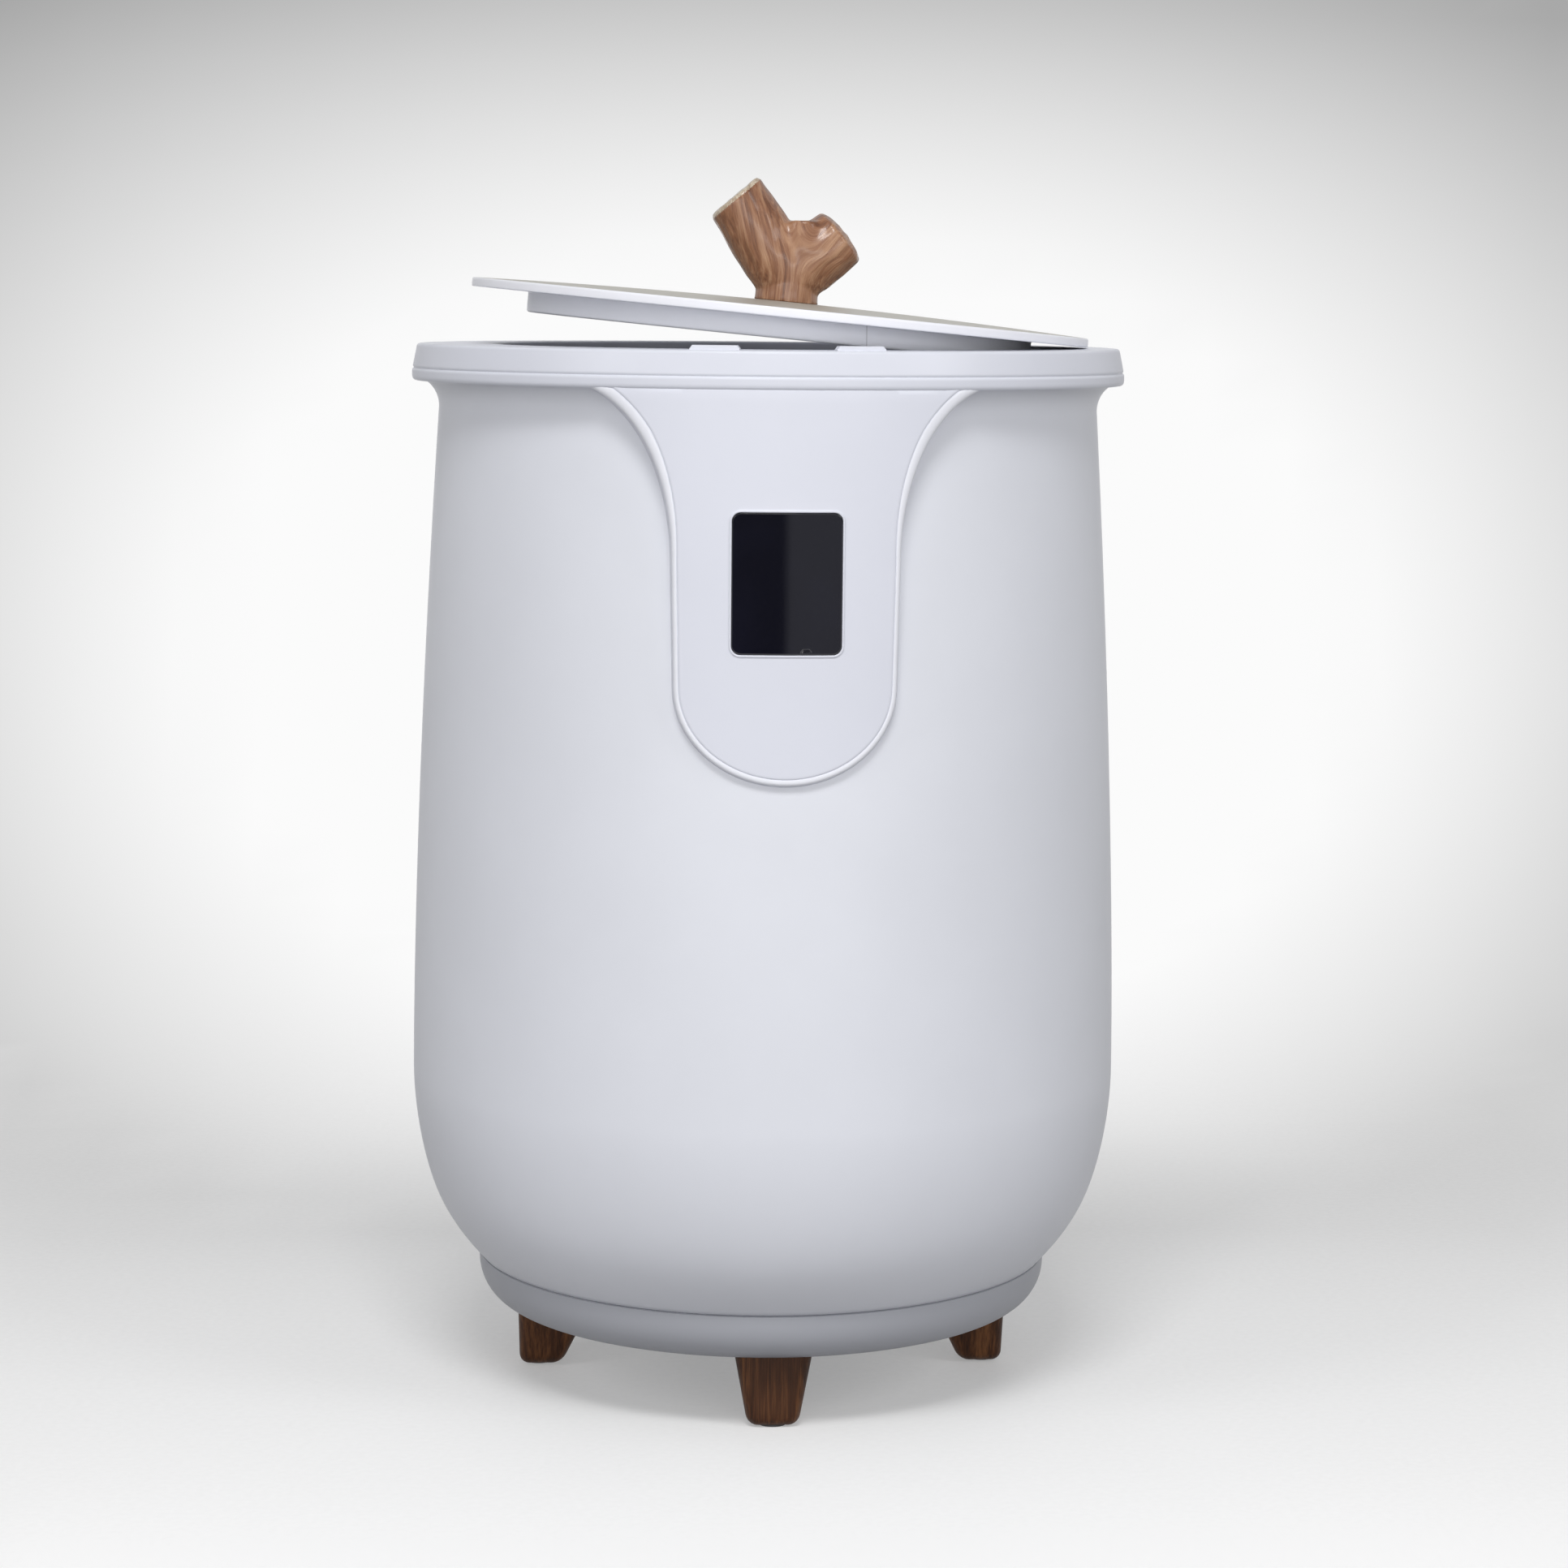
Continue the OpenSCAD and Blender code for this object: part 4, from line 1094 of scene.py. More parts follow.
@dataclass
class ControlPanel:
    """The hanging panel with drafted sides, and the display glass in its raised lip.

    Attributes:
        half_w: half its width above the round end.
        low_z: height of its lowest point.
        round_h: height of the round end.
        flare_w: how far each side spreads under the rim.
        flare_z: height at which the sides start to spread.
        flare_h: over what height they do.
        spread: how much each side widens from the round end up to there.
        side_in: how far the face stands in from the outline along the sides.
        round_in: what is added to that at the lowest point.
        flare_in: what is added to that under the rim.
        top_z: height of its upper edge, under the rim's rounding.
        face_r: radius of its face.
        tuck: how far the face draws in just under the rim.
        glass_w: width of the glass.
        glass_h: its height.
        glass_z: height of its middle.
        glass_t: its thickness.
        corner: radius of its corners.
        bead: the edge's rings inward, as share of the side's width, depth under the face and inset.
        highlight_bands: the bands between rings that take the bead's lighter white, a painted highlight.
        lip: the lip's rings inward, as distance outside the glass and height above the face.
        ground: the glass's rings inward, as distance outside its edge and height above its face.
    """

    half_w: float = 47.3
    low_z: float = 289.7
    round_h: float = 41.0
    flare_w: float = 44.7
    flare_z: float = 384.0
    flare_h: float = 72.0
    spread: float = 1.0
    side_in: float = 2.5
    round_in: float = 0.8
    flare_in: float = 3.0
    top_z: float = 458.1
    face_r: float = 160.1
    glass_w: float = 46.0
    glass_h: float = 59.0
    glass_z: float = 374.9
    glass_t: float = 1.8
    tuck: float = 0.5
    corner: float = 3.7
    bead: tuple[Triple, ...] = (
        (0.2, 1.1, 0.0), (0.29, 0.5, 0.0), (0.42, 0.16, 0.0), (0.6, 0.04, 0.0), (0.8, 0.08, 0.0),
        (0.95, 0.2, 0.0), (1.0, 0.34, 0.05), (1.0, 0.16, 0.3), (1.0, 0.03, 0.6), (1.0, 0.0, 1.0),
        (1.0, 0.0, 1.6))
    highlight_bands: tuple[int, ...] = (3, 4, 5, 6, 7)
    lip: tuple[Point, ...] = (
        (2.2, 0.0), (1.7, 0.0), (1.25, 0.0), (1.1, 0.08), (0.95, 0.3), (0.78, 0.42), (0.45, 0.43),
        (0.24, 0.34), (0.1, 0.1), (0.1, -1.9))
    ground: tuple[Point, ...] = (
        (0.0, -1.8), (0.0, -0.4), (-0.1, -0.15), (-0.25, -0.03), (-0.45, 0.0), (-0.75, 0.0), (-1.2, 0.0))

    def edge(self) -> list[tuple[Vector, Vector, float]]:
        """Gives the right half of the outline from the lowest point up.

        Returns:
            For each point its place, its inward normal and how far the face stands in there.
        """
        round_z = self.low_z + self.round_h
        flare_x = self.half_w + self.spread + self.flare_w
        places = [
            Vector((self.half_w * math.sin(a), round_z - self.round_h * math.cos(a))) for a in quarter(30)]
        places += [
            Vector((self.half_w + self.spread * i / 16, round_z + (self.flare_z - round_z) * i / 16))
            for i in range(1, 16)]
        places += [
            Vector((flare_x - self.flare_w * math.cos(a), self.flare_z + self.flare_h * math.sin(a)))
            for a in quarter(34)]
        result = []
        for i, place in enumerate(places):
            before = places[i - 1] if i else Vector((-places[1].x, places[1].y))
            after = places[i + 1] if i + 1 < len(places) else place + Vector((1, 0))
            along = (after - before).normalized()
            low = clamp((round_z - place.y) / self.round_h)
            high = clamp((place.y - self.flare_z) / (self.flare_h * 0.7))
            deep = self.side_in + self.round_in * low + self.flare_in * high**1.3
            result.append((place, Vector((-along.y, along.x)), deep))
        return result

    def level(self, share: float, radius: Callable[[float, float], float], more: float = 0.0) -> Level:
        """Gives a closed ring at a share of the way from the outline to the face's edge.

        Args:
            share: 0 at the outline, 1 at the face's edge.
            radius: gives the radius at a height and for the shell's radius there.
            more: added to the inset, in mm.

        Returns:
            Points of x, z and radius, from the lowest up the right side and down the left.
        """
        right = []
        for place, normal, deep in self.edge():
            spot = place + normal * (deep * share + more)
            z = min(spot.y, self.top_z)
            right.append((max(spot.x, 0.0), z, radius(z, FORM.radius(z))))
        left = [(-x, z, r) for x, z, r in reversed(right) if x > 1e-6]
        return right + left

    def face_radius(self, z: float) -> float:
        """Radius of the face, which tucks in just under the rim."""
        return self.face_r - self.tuck * clamp((z - self.top_z + 2.9) / 1.2)

    def window_rings(self, steps: Sequence[Point], face: float, follow: float = 1.0) -> list[Level]:
        """Gives rings round the glass's outline.

        Args:
            steps: each ring's distance outside the glass's edge and its height above the face.
            face: radius of the face in mm.
            follow: how much a corner's radius grows with its ring.

        Returns:
            The rings, as points of x, z and radius.
        """
        rings = []
        for out, rise in steps:
            outline = rounded_window(
                self.glass_w + 2 * out, self.glass_h + 2 * out, self.corner + out * follow, self.glass_z)
            rings.append([(x, z, face + rise) for x, z in outline])
        return rings

    def panel(self) -> Piece:
        """Makes the panel: steep sides, a bead inside its edge whose lighter white is a painted highlight,
        and the lip round the glass.

        Returns:
            The panel.
        """
        bm = bmesh.new()

        def at(down: float) -> Callable[[float, float], float]:
            """Gives a radius this far under the face, but never under the shell's skin."""
            return lambda z, shell: max(self.face_radius(z) - down, shell + 0.15)

        levels = [
            self.level(0, lambda z, shell: shell - 2.0),
            self.level(0, lambda z, shell: shell + 0.1),
            self.level(0.03, lambda z, shell: shell + 0.5)]
        levels += [self.level(share, at(down), inset) for share, down, inset in self.bead]
        # The highlight_bands take the bead's lighter white: a painted highlight.
        add_levels(bm, levels, self.highlight_bands)
        rings = self.window_rings(self.lip, self.face_r)
        add_levels(bm, rings)
        add_patch(bm, flat(levels[-1]), [flat(rings[0])], self.face_radius, 3.2)
        return as_object("panel_front", bm, 50)

    def glass(self) -> Piece:
        """Makes the display glass with a ground edge.

        Returns:
            The glass.
        """
        bm = bmesh.new()
        top = self.face_r + 0.02
        rings = self.window_rings(self.ground, top, 0.6)
        add_levels(bm, rings)
        add_patch(bm, flat(rings[-1]), [], lambda z: top, 3.0)
        add_patch(bm, flat(rings[0]), [], lambda z: top - self.glass_t, 6.0)
        return as_object("display_pane", bm, 50)

    def build(self) -> None:
        """Builds and dresses the panel and its glass."""
        dress(self.panel(), Finishes.PANEL, BodyName.BUCKET, Slot.RIM, "control_panel", second=Finishes.BEAD_PAINTED_HIGHLIGHT)
        dress(self.glass(), Finishes.GLASS, BodyName.BUCKET, Slot.GLASS, "display_glass")


@dataclass
class Foot:
    """One tapered wooden foot.

    Attributes:
        side: where it stands.
        top_w: width at the top.
        top_d: depth at the top.
        low_w: width at the bottom.
        low_d: depth at the bottom.
        out_r: how far out its outer face stands at the top.
        lean: how much less far out it stands at the bottom.
        low_z: height of its bottom above the floor.
        top_z: height of its top.
        corner: radius of its upright corners.
        ease: the rounded lower edge, as share of the height and inset.
    """

    side: Side
    top_w: float = 34.5
    top_d: float = 36.0
    low_w: float = 22.5
    low_d: float = 19.5
    out_r: float = 113.0
    lean: float = 0.8
    low_z: float = 0.8
    top_z: float = FORM.foot_h
    corner: float = 5.0
    ease: tuple[Point, ...] = (
        (0.0, 3.4), (0.006, 2.5), (0.025, 1.5), (0.055, 0.7), (0.09, 0.2), (0.13, 0.0))

    def section(self, t: float, inset: float) -> list[Vector]:
        """Gives a level outline of the foot.

        Args:
            t: 0 at the bottom, 1 at the top.
            inset: how far the outline is pulled in, in mm.

        Returns:
            The outline's points in mm.
        """
        width = self.low_w + (self.top_w - self.low_w) * t - 2 * inset
        depth = self.low_d + (self.top_d - self.low_d) * t - 2 * inset
        front = -self.out_r + self.lean * (1 - t) + inset
        z = self.low_z + (self.top_z - self.low_z) * t
        corner = max(self.corner - inset, 1.0)
        outline = rounded_window(width, depth, corner, 0)
        return [Vector((x, front + depth / 2 + y, z)) for x, y in outline]

    def build(self) -> None:
        """Builds and dresses the foot."""
        bm = bmesh.new()
        eased = self.ease[-1][0]
        levels = [*self.ease, *((eased + (1 - eased) * i / 10, 0.0) for i in range(1, 11))]
        turn = Matrix.Rotation(math.radians(self.side.value), 4, "Z")
        rings = [[bm.verts.new(turn @ p * MM) for p in self.section(t, inset)] for t, inset in levels]
        join_all(bm, rings)
        for ring in (rings[0], rings[-1]):
            middle = bm.verts.new(sum((v.co for v in ring), Vector()) / len(ring))
            join_rings(bm, [middle], ring)
        name = self.side.name.lower()
        obj = as_object("wood_foot_" + name, bm, 40)
        dress(obj, Finishes.FOOT, BodyName.BUCKET, Slot.FOOT, "foot_" + name)


# Lid


@dataclass(frozen=True)
class LidPlace:
    """Where the tipped lid stands.

    Attributes:
        radius: radius of the lid.
        shift: how far its middle is right of the bucket's axis when shut.
        tilt: how far it is tipped, in degrees.
        gap: how far its pivot is above the rim.
    """

    radius: float = 139.5
    shift: float = 4.5
    tilt: float = 5.2
    gap: float = 0.3

    def matrix(self) -> Matrix:
        """Gives the move from the lid's own frame to the part's.

        Returns:
            The matrix, in metres.
        """
        pivot = Matrix.Translation(Vector((self.shift + self.radius, 0, FORM.rim_z + self.gap)) * MM)
        turn = Matrix.Rotation(math.radians(self.tilt), 4, "Y")
        return pivot @ turn @ Matrix.Translation((-self.radius * MM, 0, 0))


@dataclass
class Lid:
    """The crowned lid plate and the pan below it.

    Attributes:
        place: where the lid stands.
        edge_t: thickness at the edge.
        crown: rise in the middle.
        flat_share: share of the radius that the crown takes, inside the edge's rounding.
        wall: wall of the plate.
        skirt_r: radius of the skirt.
        skirt_h: depth of the skirt.
        pan_t: wall of the pan.
        pan_gap: gap between the pan's edge and the plate's wall.
    """

    place: LidPlace = LidPlace()
    edge_t: float = 4.0
    crown: float = 3.0
    flat_share: float = 0.985
    wall: float = 2.2
    skirt_r: float = 114.0
    skirt_h: float = 9.0
    pan_t: float = 1.8
    pan_gap: float = 0.2

    def top(self) -> Piece:
        """Makes the crowned plate, its upward faces in a warm grey of painted shade.

        Returns:
            The plate.
        """
        r = self.place.radius

        def crown(x: float) -> float:
            """Height of the crown at a distance from the middle."""
            return self.edge_t + self.crown * (1 - (x / r) ** 2)

        flat_r, in_r = r * self.flat_share, r - self.wall
        upper = [(x, crown(x)) for x in (flat_r * i / 24 for i in range(25))]
        rim = rounded([(flat_r, crown(flat_r), 0), (r, self.edge_t, 1.1), (r, 0, 0.8), (in_r, 0, 0)], 6)
        under = [(x, crown(x) - self.wall) for x in (in_r * i / 12 for i in range(12, -1, -1))]
        obj = lathe("lid_plate", upper + rim[1:] + under)
        # Faces on the crown that look up take the second finish, the warm grey of painted shade.
        for face in obj.data.polygons:
            face.material_index = int(face.normal.z > 0.9 and face.center.z > self.edge_t * MM)
        obj.data.transform(self.place.matrix())
        return obj

    def pan(self) -> Piece:
        """Makes the pan with its skirt and a rolled lower edge.

        Returns:
            The pan.
        """
        r = self.place.radius - self.wall - self.pan_gap
        low, in_r, t = -self.skirt_h, self.skirt_r - self.wall, self.pan_t
        profile = rounded([
            (0, low, 0), (self.skirt_r, low, 1.4), (self.skirt_r, 0, 0.6), (r, 0, 0), (r, t, 0),
            (in_r, t, 0.5), (in_r, low + t, 0), (0, low + t, 0)])
        obj = lathe("lid_pan", profile)
        obj.data.transform(self.place.matrix())
        return obj

    def build(self) -> None:
        """Builds and dresses the lid's mouldings."""
        dress(self.top(), Finishes.LID, BodyName.LID, Slot.RIM, "lid_top", second=Finishes.LID_TOP_PAINTED_SHADE)
        # The pan takes the brightened white of painted light.
        dress(self.pan(), Finishes.PAN_PAINTED_LIGHT, BodyName.LID, Slot.RIM, "lid_inner")


@dataclass
class BranchHandle:
    """The forked piece of branch on the lid.

    Attributes:
        place: where the lid stands.
        seat_z: height of the lid's crown in its own frame.
        shift: how far the wood stands right of the lid's middle.
        neck_r: radius of the neck.
        fork_z: height at which the branches part.
        left_lean: lean of the cut branch to the left, in degrees.
        left_len: its length from its root.
        left_r: its radius.
        left_root: where it starts, right of and above the fork.
        cut_slant: slope of its cut.
        bevel: height of the bevel round the cut.
        right_lean: lean of the domed branch to the right, in degrees.
        right_len: its length from its root to the dome.
        right_r: its radius.
        right_root: where it starts, right of and above the fork.
        dome: height of its dome.
        notch_z: height of the wood between the branches.
        notch_root: where that wood starts, right of and above the fork.
        notch_lean: its lean to the left, in degrees.
        grain_share: share of each branch's lean that the wood's grain takes, left and right.
        grain_x: where its lean starts to change from left to right, and over what width it does.
        grain_z: height at which it starts to lean, and over what height it does.
        voxel: size of the cells in which the limbs melt together.
        ridge: depth of the carved ridges along the grain.
        knot: depth of the wide carved hollows.
    """

    place: LidPlace = LidPlace()
    seat_z: float = 7.0
    shift: float = 2.0
    neck_r: float = 14.0
    fork_z: float = 12.4
    left_lean: float = 39.2
    left_len: float = 42.2
    left_r: float = 14.2
    left_root: Point = (-1.2, -0.3)
    cut_slant: float = 0.1
    bevel: float = 1.8
    right_lean: float = 46.0
    right_len: float = 30.4
    right_r: float = 13.7
    right_root: Point = (0.0, -1.9)
    dome: float = 2.6
    notch_z: float = 37.0
    notch_root: Point = (6.5, 0.0)
    notch_lean: float = 5.2
    grain_share: Point = (0.4, 0.75)
    grain_x: Point = (-6.0, 18.0)
    grain_z: Point = (6.0, 16.0)
    voxel: float = 0.6
    ridge: float = 0.35
    knot: float = 0.4

    def add_limb(
        self, bm: BMesh, lean: float, rings: Sequence[Point], root: Point = (0, 0), slant: float = 0.0,
        deep: float = 1.0
    ) -> None:
        """Adds one closed round limb that starts in the fork.

        Args:
            bm: the mesh to add to.
            lean: its lean from upright in degrees, to the left below 0.
            rings: distance along the limb and radius there, in mm.
            root: where it starts, from the fork, to the right and up in mm.
            slant: how much the far end slopes up to the right.
            deep: depth over width.
        """
        turn = Matrix.Rotation(math.radians(lean), 4, "Y")
        turn = Matrix.Translation((root[0], 0, self.fork_z + root[1])) @ turn
        count = 48
        end = rings[-1][0]
        loops = []
        for along, r in rings:
            slope = slant * clamp((along - end + 14) / 12)
            loop = []
            for i in range(count):
                a = math.tau * i / count
                across = r * math.cos(a)
                spot = Vector((across, deep * r * math.sin(a), along + slope * across))
                loop.append(bm.verts.new(turn @ spot))
            loops.append(loop)
        join_all(bm, loops)
        bm.faces.new(loops[0])
        bm.faces.new(loops[-1])

    def limbs(self) -> BMesh:
        """Makes the neck, the two branches and the wood between them as overlapping limbs.

        Returns:
            The limbs, in metres.
        """
        bm = bmesh.new()
        n = self.neck_r
        self.add_limb(bm, 0, [(-self.fork_z, n + 0.5), (-self.fork_z * 0.6, n + 0.2), (0, n), (6, n - 1)])
        end, r = self.left_len, self.left_r
        cut_branch = [
            (-6, n * 0.8), (0, n + 0.6), (10, n + 1.3), (20, n + 1.1), (34, r + 0.2), (end - self.bevel, r),
            (end, r - 1.2)]
        self.add_limb(bm, -self.left_lean, cut_branch, self.left_root, self.cut_slant)
        end, r = self.right_len, self.right_r
        domed_branch = [
            (-6, n * 0.8), (0, n), (10, n + 0.8), (20, n + 0.9), (end - 1.2, r + 0.3), (end, r - 0.4),
            (end + self.dome * 0.45, r * 0.78), (end + self.dome * 0.8, r * 0.5), (end + self.dome, r * 0.2)]
        self.add_limb(bm, self.right_lean, domed_branch, self.right_root)
        end = (self.notch_z - self.fork_z) / math.cos(math.radians(self.notch_lean))
        between = [(0, n - 3), (12, n - 2), (end - 5, n - 2.7), (end - 1, n - 3.8), (end, n - 4.6)]
        self.add_limb(bm, -self.notch_lean, between, self.notch_root, deep=1.22)
        bmesh.ops.recalc_face_normals(bm, faces=bm.faces)
        bmesh.ops.transform(bm, matrix=Matrix.Scale(MM, 4), verts=bm.verts)
        return bm

    def wood(self) -> Piece:
        """Melts the limbs into one, carves them lightly and marks the cut end.

        Returns:
            The handle.
        """
        mesh = bpy.data.meshes.new("limbs")
        bm = self.limbs()
        bm.to_mesh(mesh)
        bm.free()
        rough = bpy.data.objects.new("limbs", mesh)
        bpy.context.scene.collection.objects.link(rough)
        melt = rough.modifiers.new("melt", "REMESH")
        melt.mode = "VOXEL"
        melt.voxel_size = self.voxel * MM
        soften = rough.modifiers.new("soften", "SMOOTH")
        soften.factor = 0.5
        soften.iterations = 8
        solid = bpy.data.meshes.new_from_object(rough.evaluated_get(bpy.context.evaluated_depsgraph_get()))
        bpy.data.objects.remove(rough)
        obj = bpy.data.objects.new("branch_fork", solid)
        bpy.context.scene.collection.objects.link(obj)
        self.blend(solid)
        self.carve(solid)
        lean = math.radians(self.left_lean)
        for face in solid.polygons:
            x = face.center.x / MM - self.left_root[0]
            z = face.center.z / MM - self.fork_z - self.left_root[1]
            along = z * math.cos(lean) - x * math.sin(lean)
            across = x * math.cos(lean) + z * math.sin(lean)
            face.material_index = int(along - self.cut_slant * across > self.left_len - self.bevel)
            face.use_smooth = True
        solid.transform(self.place.matrix() @ Matrix.Translation(Vector((self.shift, 0, self.seat_z)) * MM))
        return obj

    def carve(self, mesh: bpy.types.Mesh) -> None:
        """Carves the skin a fraction of a millimetre along the grain, and stores the grain's coordinates.

        Args:
            mesh: the handle's mesh in its own frame, in metres.
        """
        places = [v.co / MM for v in mesh.vertices]
        normals = [v.normal.copy() for v in mesh.vertices]
        left = self.left_lean * self.grain_share[0]
        right = self.right_lean * self.grain_share[1]
        grain: list[float] = []
        moved: list[float] = []
        for p, normal in zip(places, normals):
            side = clamp((p.x - self.grain_x[0]) / self.grain_x[1])
            side = side * side * (3 - 2 * side)
            lean = -left + (left + right) * side
            a = math.radians(lean) * clamp((p.z - self.grain_z[0]) / self.grain_z[1])
            across = p.x * math.cos(a) - (p.z - self.fork_z) * math.sin(a)
            along = p.x * math.sin(a) + p.z * math.cos(a)
            grain.extend((across * MM, p.y * MM, along * MM))
            if p.z > 0.4:
                ridge = noise.noise(Vector((across * 0.28, p.y * 0.28, along * 0.03)))
                knot = noise.noise(Vector((p.x * 0.07, p.y * 0.07, p.z * 0.07)) + Vector((3, 1, 7)))
                p = p + normal * (self.ridge * ridge + self.knot * knot - self.knot / 2)
            moved.extend(p * MM)
        mesh.attributes.new("grain", "FLOAT_VECTOR", "POINT").data.foreach_set("vector", grain)
        mesh.vertices.foreach_set("co", moved)
        mesh.update()

    def blend(self, mesh: bpy.types.Mesh) -> None:
        """Smooths the creases between the branches on the front and the back.

        Args:
            mesh: the handle's mesh in its own frame, in metres.
        """
        bm = bmesh.new()
        bm.from_mesh(mesh)
        left, right, low, top = (mm * MM for mm in (-10, 17, 9, self.notch_z - 1.6))
        creased = [
            v for v in bm.verts if abs(v.co.y) > 3 * MM and left < v.co.x < right and low < v.co.z < top]
        all_axes = {"use_axis_x": True, "use_axis_y": True, "use_axis_z": True}
        for _ in range(60):
            bmesh.ops.smooth_vert(bm, verts=creased, factor=0.5, **all_axes)
        bm.to_mesh(mesh)
        bm.free()

    def build(self) -> None:
        """Builds and dresses the handle."""
        dress(
            self.wood(), Finishes.HANDLE, BodyName.LID, Slot.HANDLE, "branch_handle",
            second=Finishes.HANDLE_END)


# CAD nodes that stay


@dataclass(frozen=True)
class Carried:
    """CAD nodes that keep their shape and get a finish.

    Attributes:
        finish: the finish.
        nodes: the nodes.
    """

    finish: Finish
    nodes: tuple[str, ...]

    def dress(self) -> None:
        """Gives each node the finish."""
        for node in self.nodes:
            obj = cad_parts[node]
            obj.data.materials.clear()
            obj.data.materials.append(self.finish.material())
            log.info("%s: keeps its CAD shape in %s", node, self.finish.name)


CARRIED = (
    Carried(Finishes.LINER, ("inner_liner",)),
    Carried(Finishes.ZINC, (
        "base_screws", "foot_screws", "rim_screws", "panel_screws", "control_board_screws",
        "power_board_screws", "lid_screws", "handle_screw", "handle_washer", "touch_springs",
        "temperature_sensor")),
    Carried(Finishes.CLIP, ("sensor_clips",)),
    Carried(Finishes.RUBBER, ("foot_pads",)),
    Carried(Finishes.FELT, ("insulation_sleeve", "floor_insulation", "lid_insulation")),
    Carried(Finishes.FOIL, ("heater_film",)),
    Carried(Finishes.BOARD, ("control_board", "power_board")),
    Carried(Finishes.CERAMIC, ("thermostat", "thermal_fuse")),
    Carried(Finishes.RELAY, ("relay",)),
    Carried(Finishes.TAPE, ("transformer",)),
    Carried(Finishes.SLEEVE, ("capacitor",)),
    Carried(Finishes.TERMINAL, ("terminal_block",)),
    Carried(Finishes.DIGITS, ("display_module",)),
    Carried(Finishes.LEAD_RED, ("heater_leads",)),
    Carried(Finishes.LEAD_WHITE, ("sensor_leads", "panel_cable")),
    Carried(Finishes.RIM, ("gland_nut",)),
)


# Studio


@dataclass(frozen=True)
class Lamp:
    """A soft area lamp.

    Attributes:
        name: its name.
        place: where it stands, in metres.
        aim: what it looks at, in metres.
        size: its width and height in metres.
        power: its power in watts.
        colour: its linear colour.
    """

    name: str
    place: Triple
    aim: Triple
    size: tuple[float, float]
    power: float
    colour: Triple = (1, 1, 1)

    def build(self) -> None:
        """Adds the lamp to the scene."""
        data = bpy.data.lights.new(self.name, "AREA")
        data.shape = "RECTANGLE"
        data.size, data.size_y = self.size
        data.energy = self.power
        data.color = self.colour
        obj = bpy.data.objects.new(self.name, data)
        obj.location = self.place
        obj.rotation_euler = (Vector(self.aim) - Vector(self.place)).to_track_quat("-Z", "Y").to_euler()
        obj.visible_camera = False
        bpy.context.scene.collection.objects.link(obj)


@dataclass(frozen=True)
class PlainLight(Finish):
    """A finish with a light of its own, which isn't counted among the lamps."""

    def material(self) -> bpy.types.Material:
        """Gives the material, built on the first call.

        Returns:
            The material.
        """
        made = super().material()
        made.cycles.emission_sampling = "NONE"
        return made


@dataclass(frozen=True)
class Paper(PlainLight):
    """The sweep's paper: it glows pale to the eye with painted light, is darker in the light it throws back,
    and clear from behind.

    Attributes:
        thrown: linear colour in the light that it throws back.
    """

    thrown: Triple = (0.2, 0.2, 0.205)

    def build(self, g: Graph) -> None:
        """Builds the tones stored on the vertices under a faint fibre.

        Args:
            g: the material's node graph.
        """
        fibre = g.span(g.noise(g.place(), 300, 3), 0.98, 1.02, 0.3, 0.7)
        matt = g.add("BsdfDiffuse")
        tone = g.add("Attribute", attribute_name="matt").outputs["Fac"]
        g.join(g.math("MULTIPLY", fibre, tone), matt.inputs["Color"])
        glow = g.add("Emission")
        g.join(g.add("Attribute", attribute_name="glow").outputs["Fac"], glow.inputs["Strength"])
        both = g.add("AddShader")
        g.join(matt.outputs[0], both.inputs[0])
        g.join(glow.outputs[0], both.inputs[1])
        thrown = g.add("BsdfDiffuse")
        thrown.inputs["Color"].default_value = (*self.thrown, 1)
        path = g.add("LightPath").outputs
        seen = g.math("MAXIMUM", path["Is Camera Ray"], path["Is Glossy Ray"])
        seen = g.math("MAXIMUM", seen, path["Is Transmission Ray"])
        front = g.mix(seen, thrown.outputs[0], both.outputs[0])
        behind = g.add("NewGeometry").outputs["Backfacing"]
        g.end(g.mix(behind, front, g.add("BsdfTransparent").outputs[0]))


@dataclass(frozen=True)
class RoomReflection(PlainLight):
    """What the glass reflects: a dark room on the left, a pale one on the right.

    Attributes:
        colour: linear colour of its light.
        levels: brightness on the left and on the right.
        edges: where the change starts and ends along X, in metres.
    """

    colour: Triple = (0.97, 0.97, 1.06)
    levels: Point = (0.02, 0.34)
    edges: Point = (0.07, 0.17)

    def build(self, g: Graph) -> None:
        """Builds the light across the card.

        Args:
            g: the material's node graph.
        """
        light = g.add("Emission")
        light.inputs["Color"].default_value = (*self.colour, 1)
        g.join(g.span(g.x_of(g.place()), *self.levels, *self.edges), light.inputs["Strength"])
        g.end(light.outputs[0])


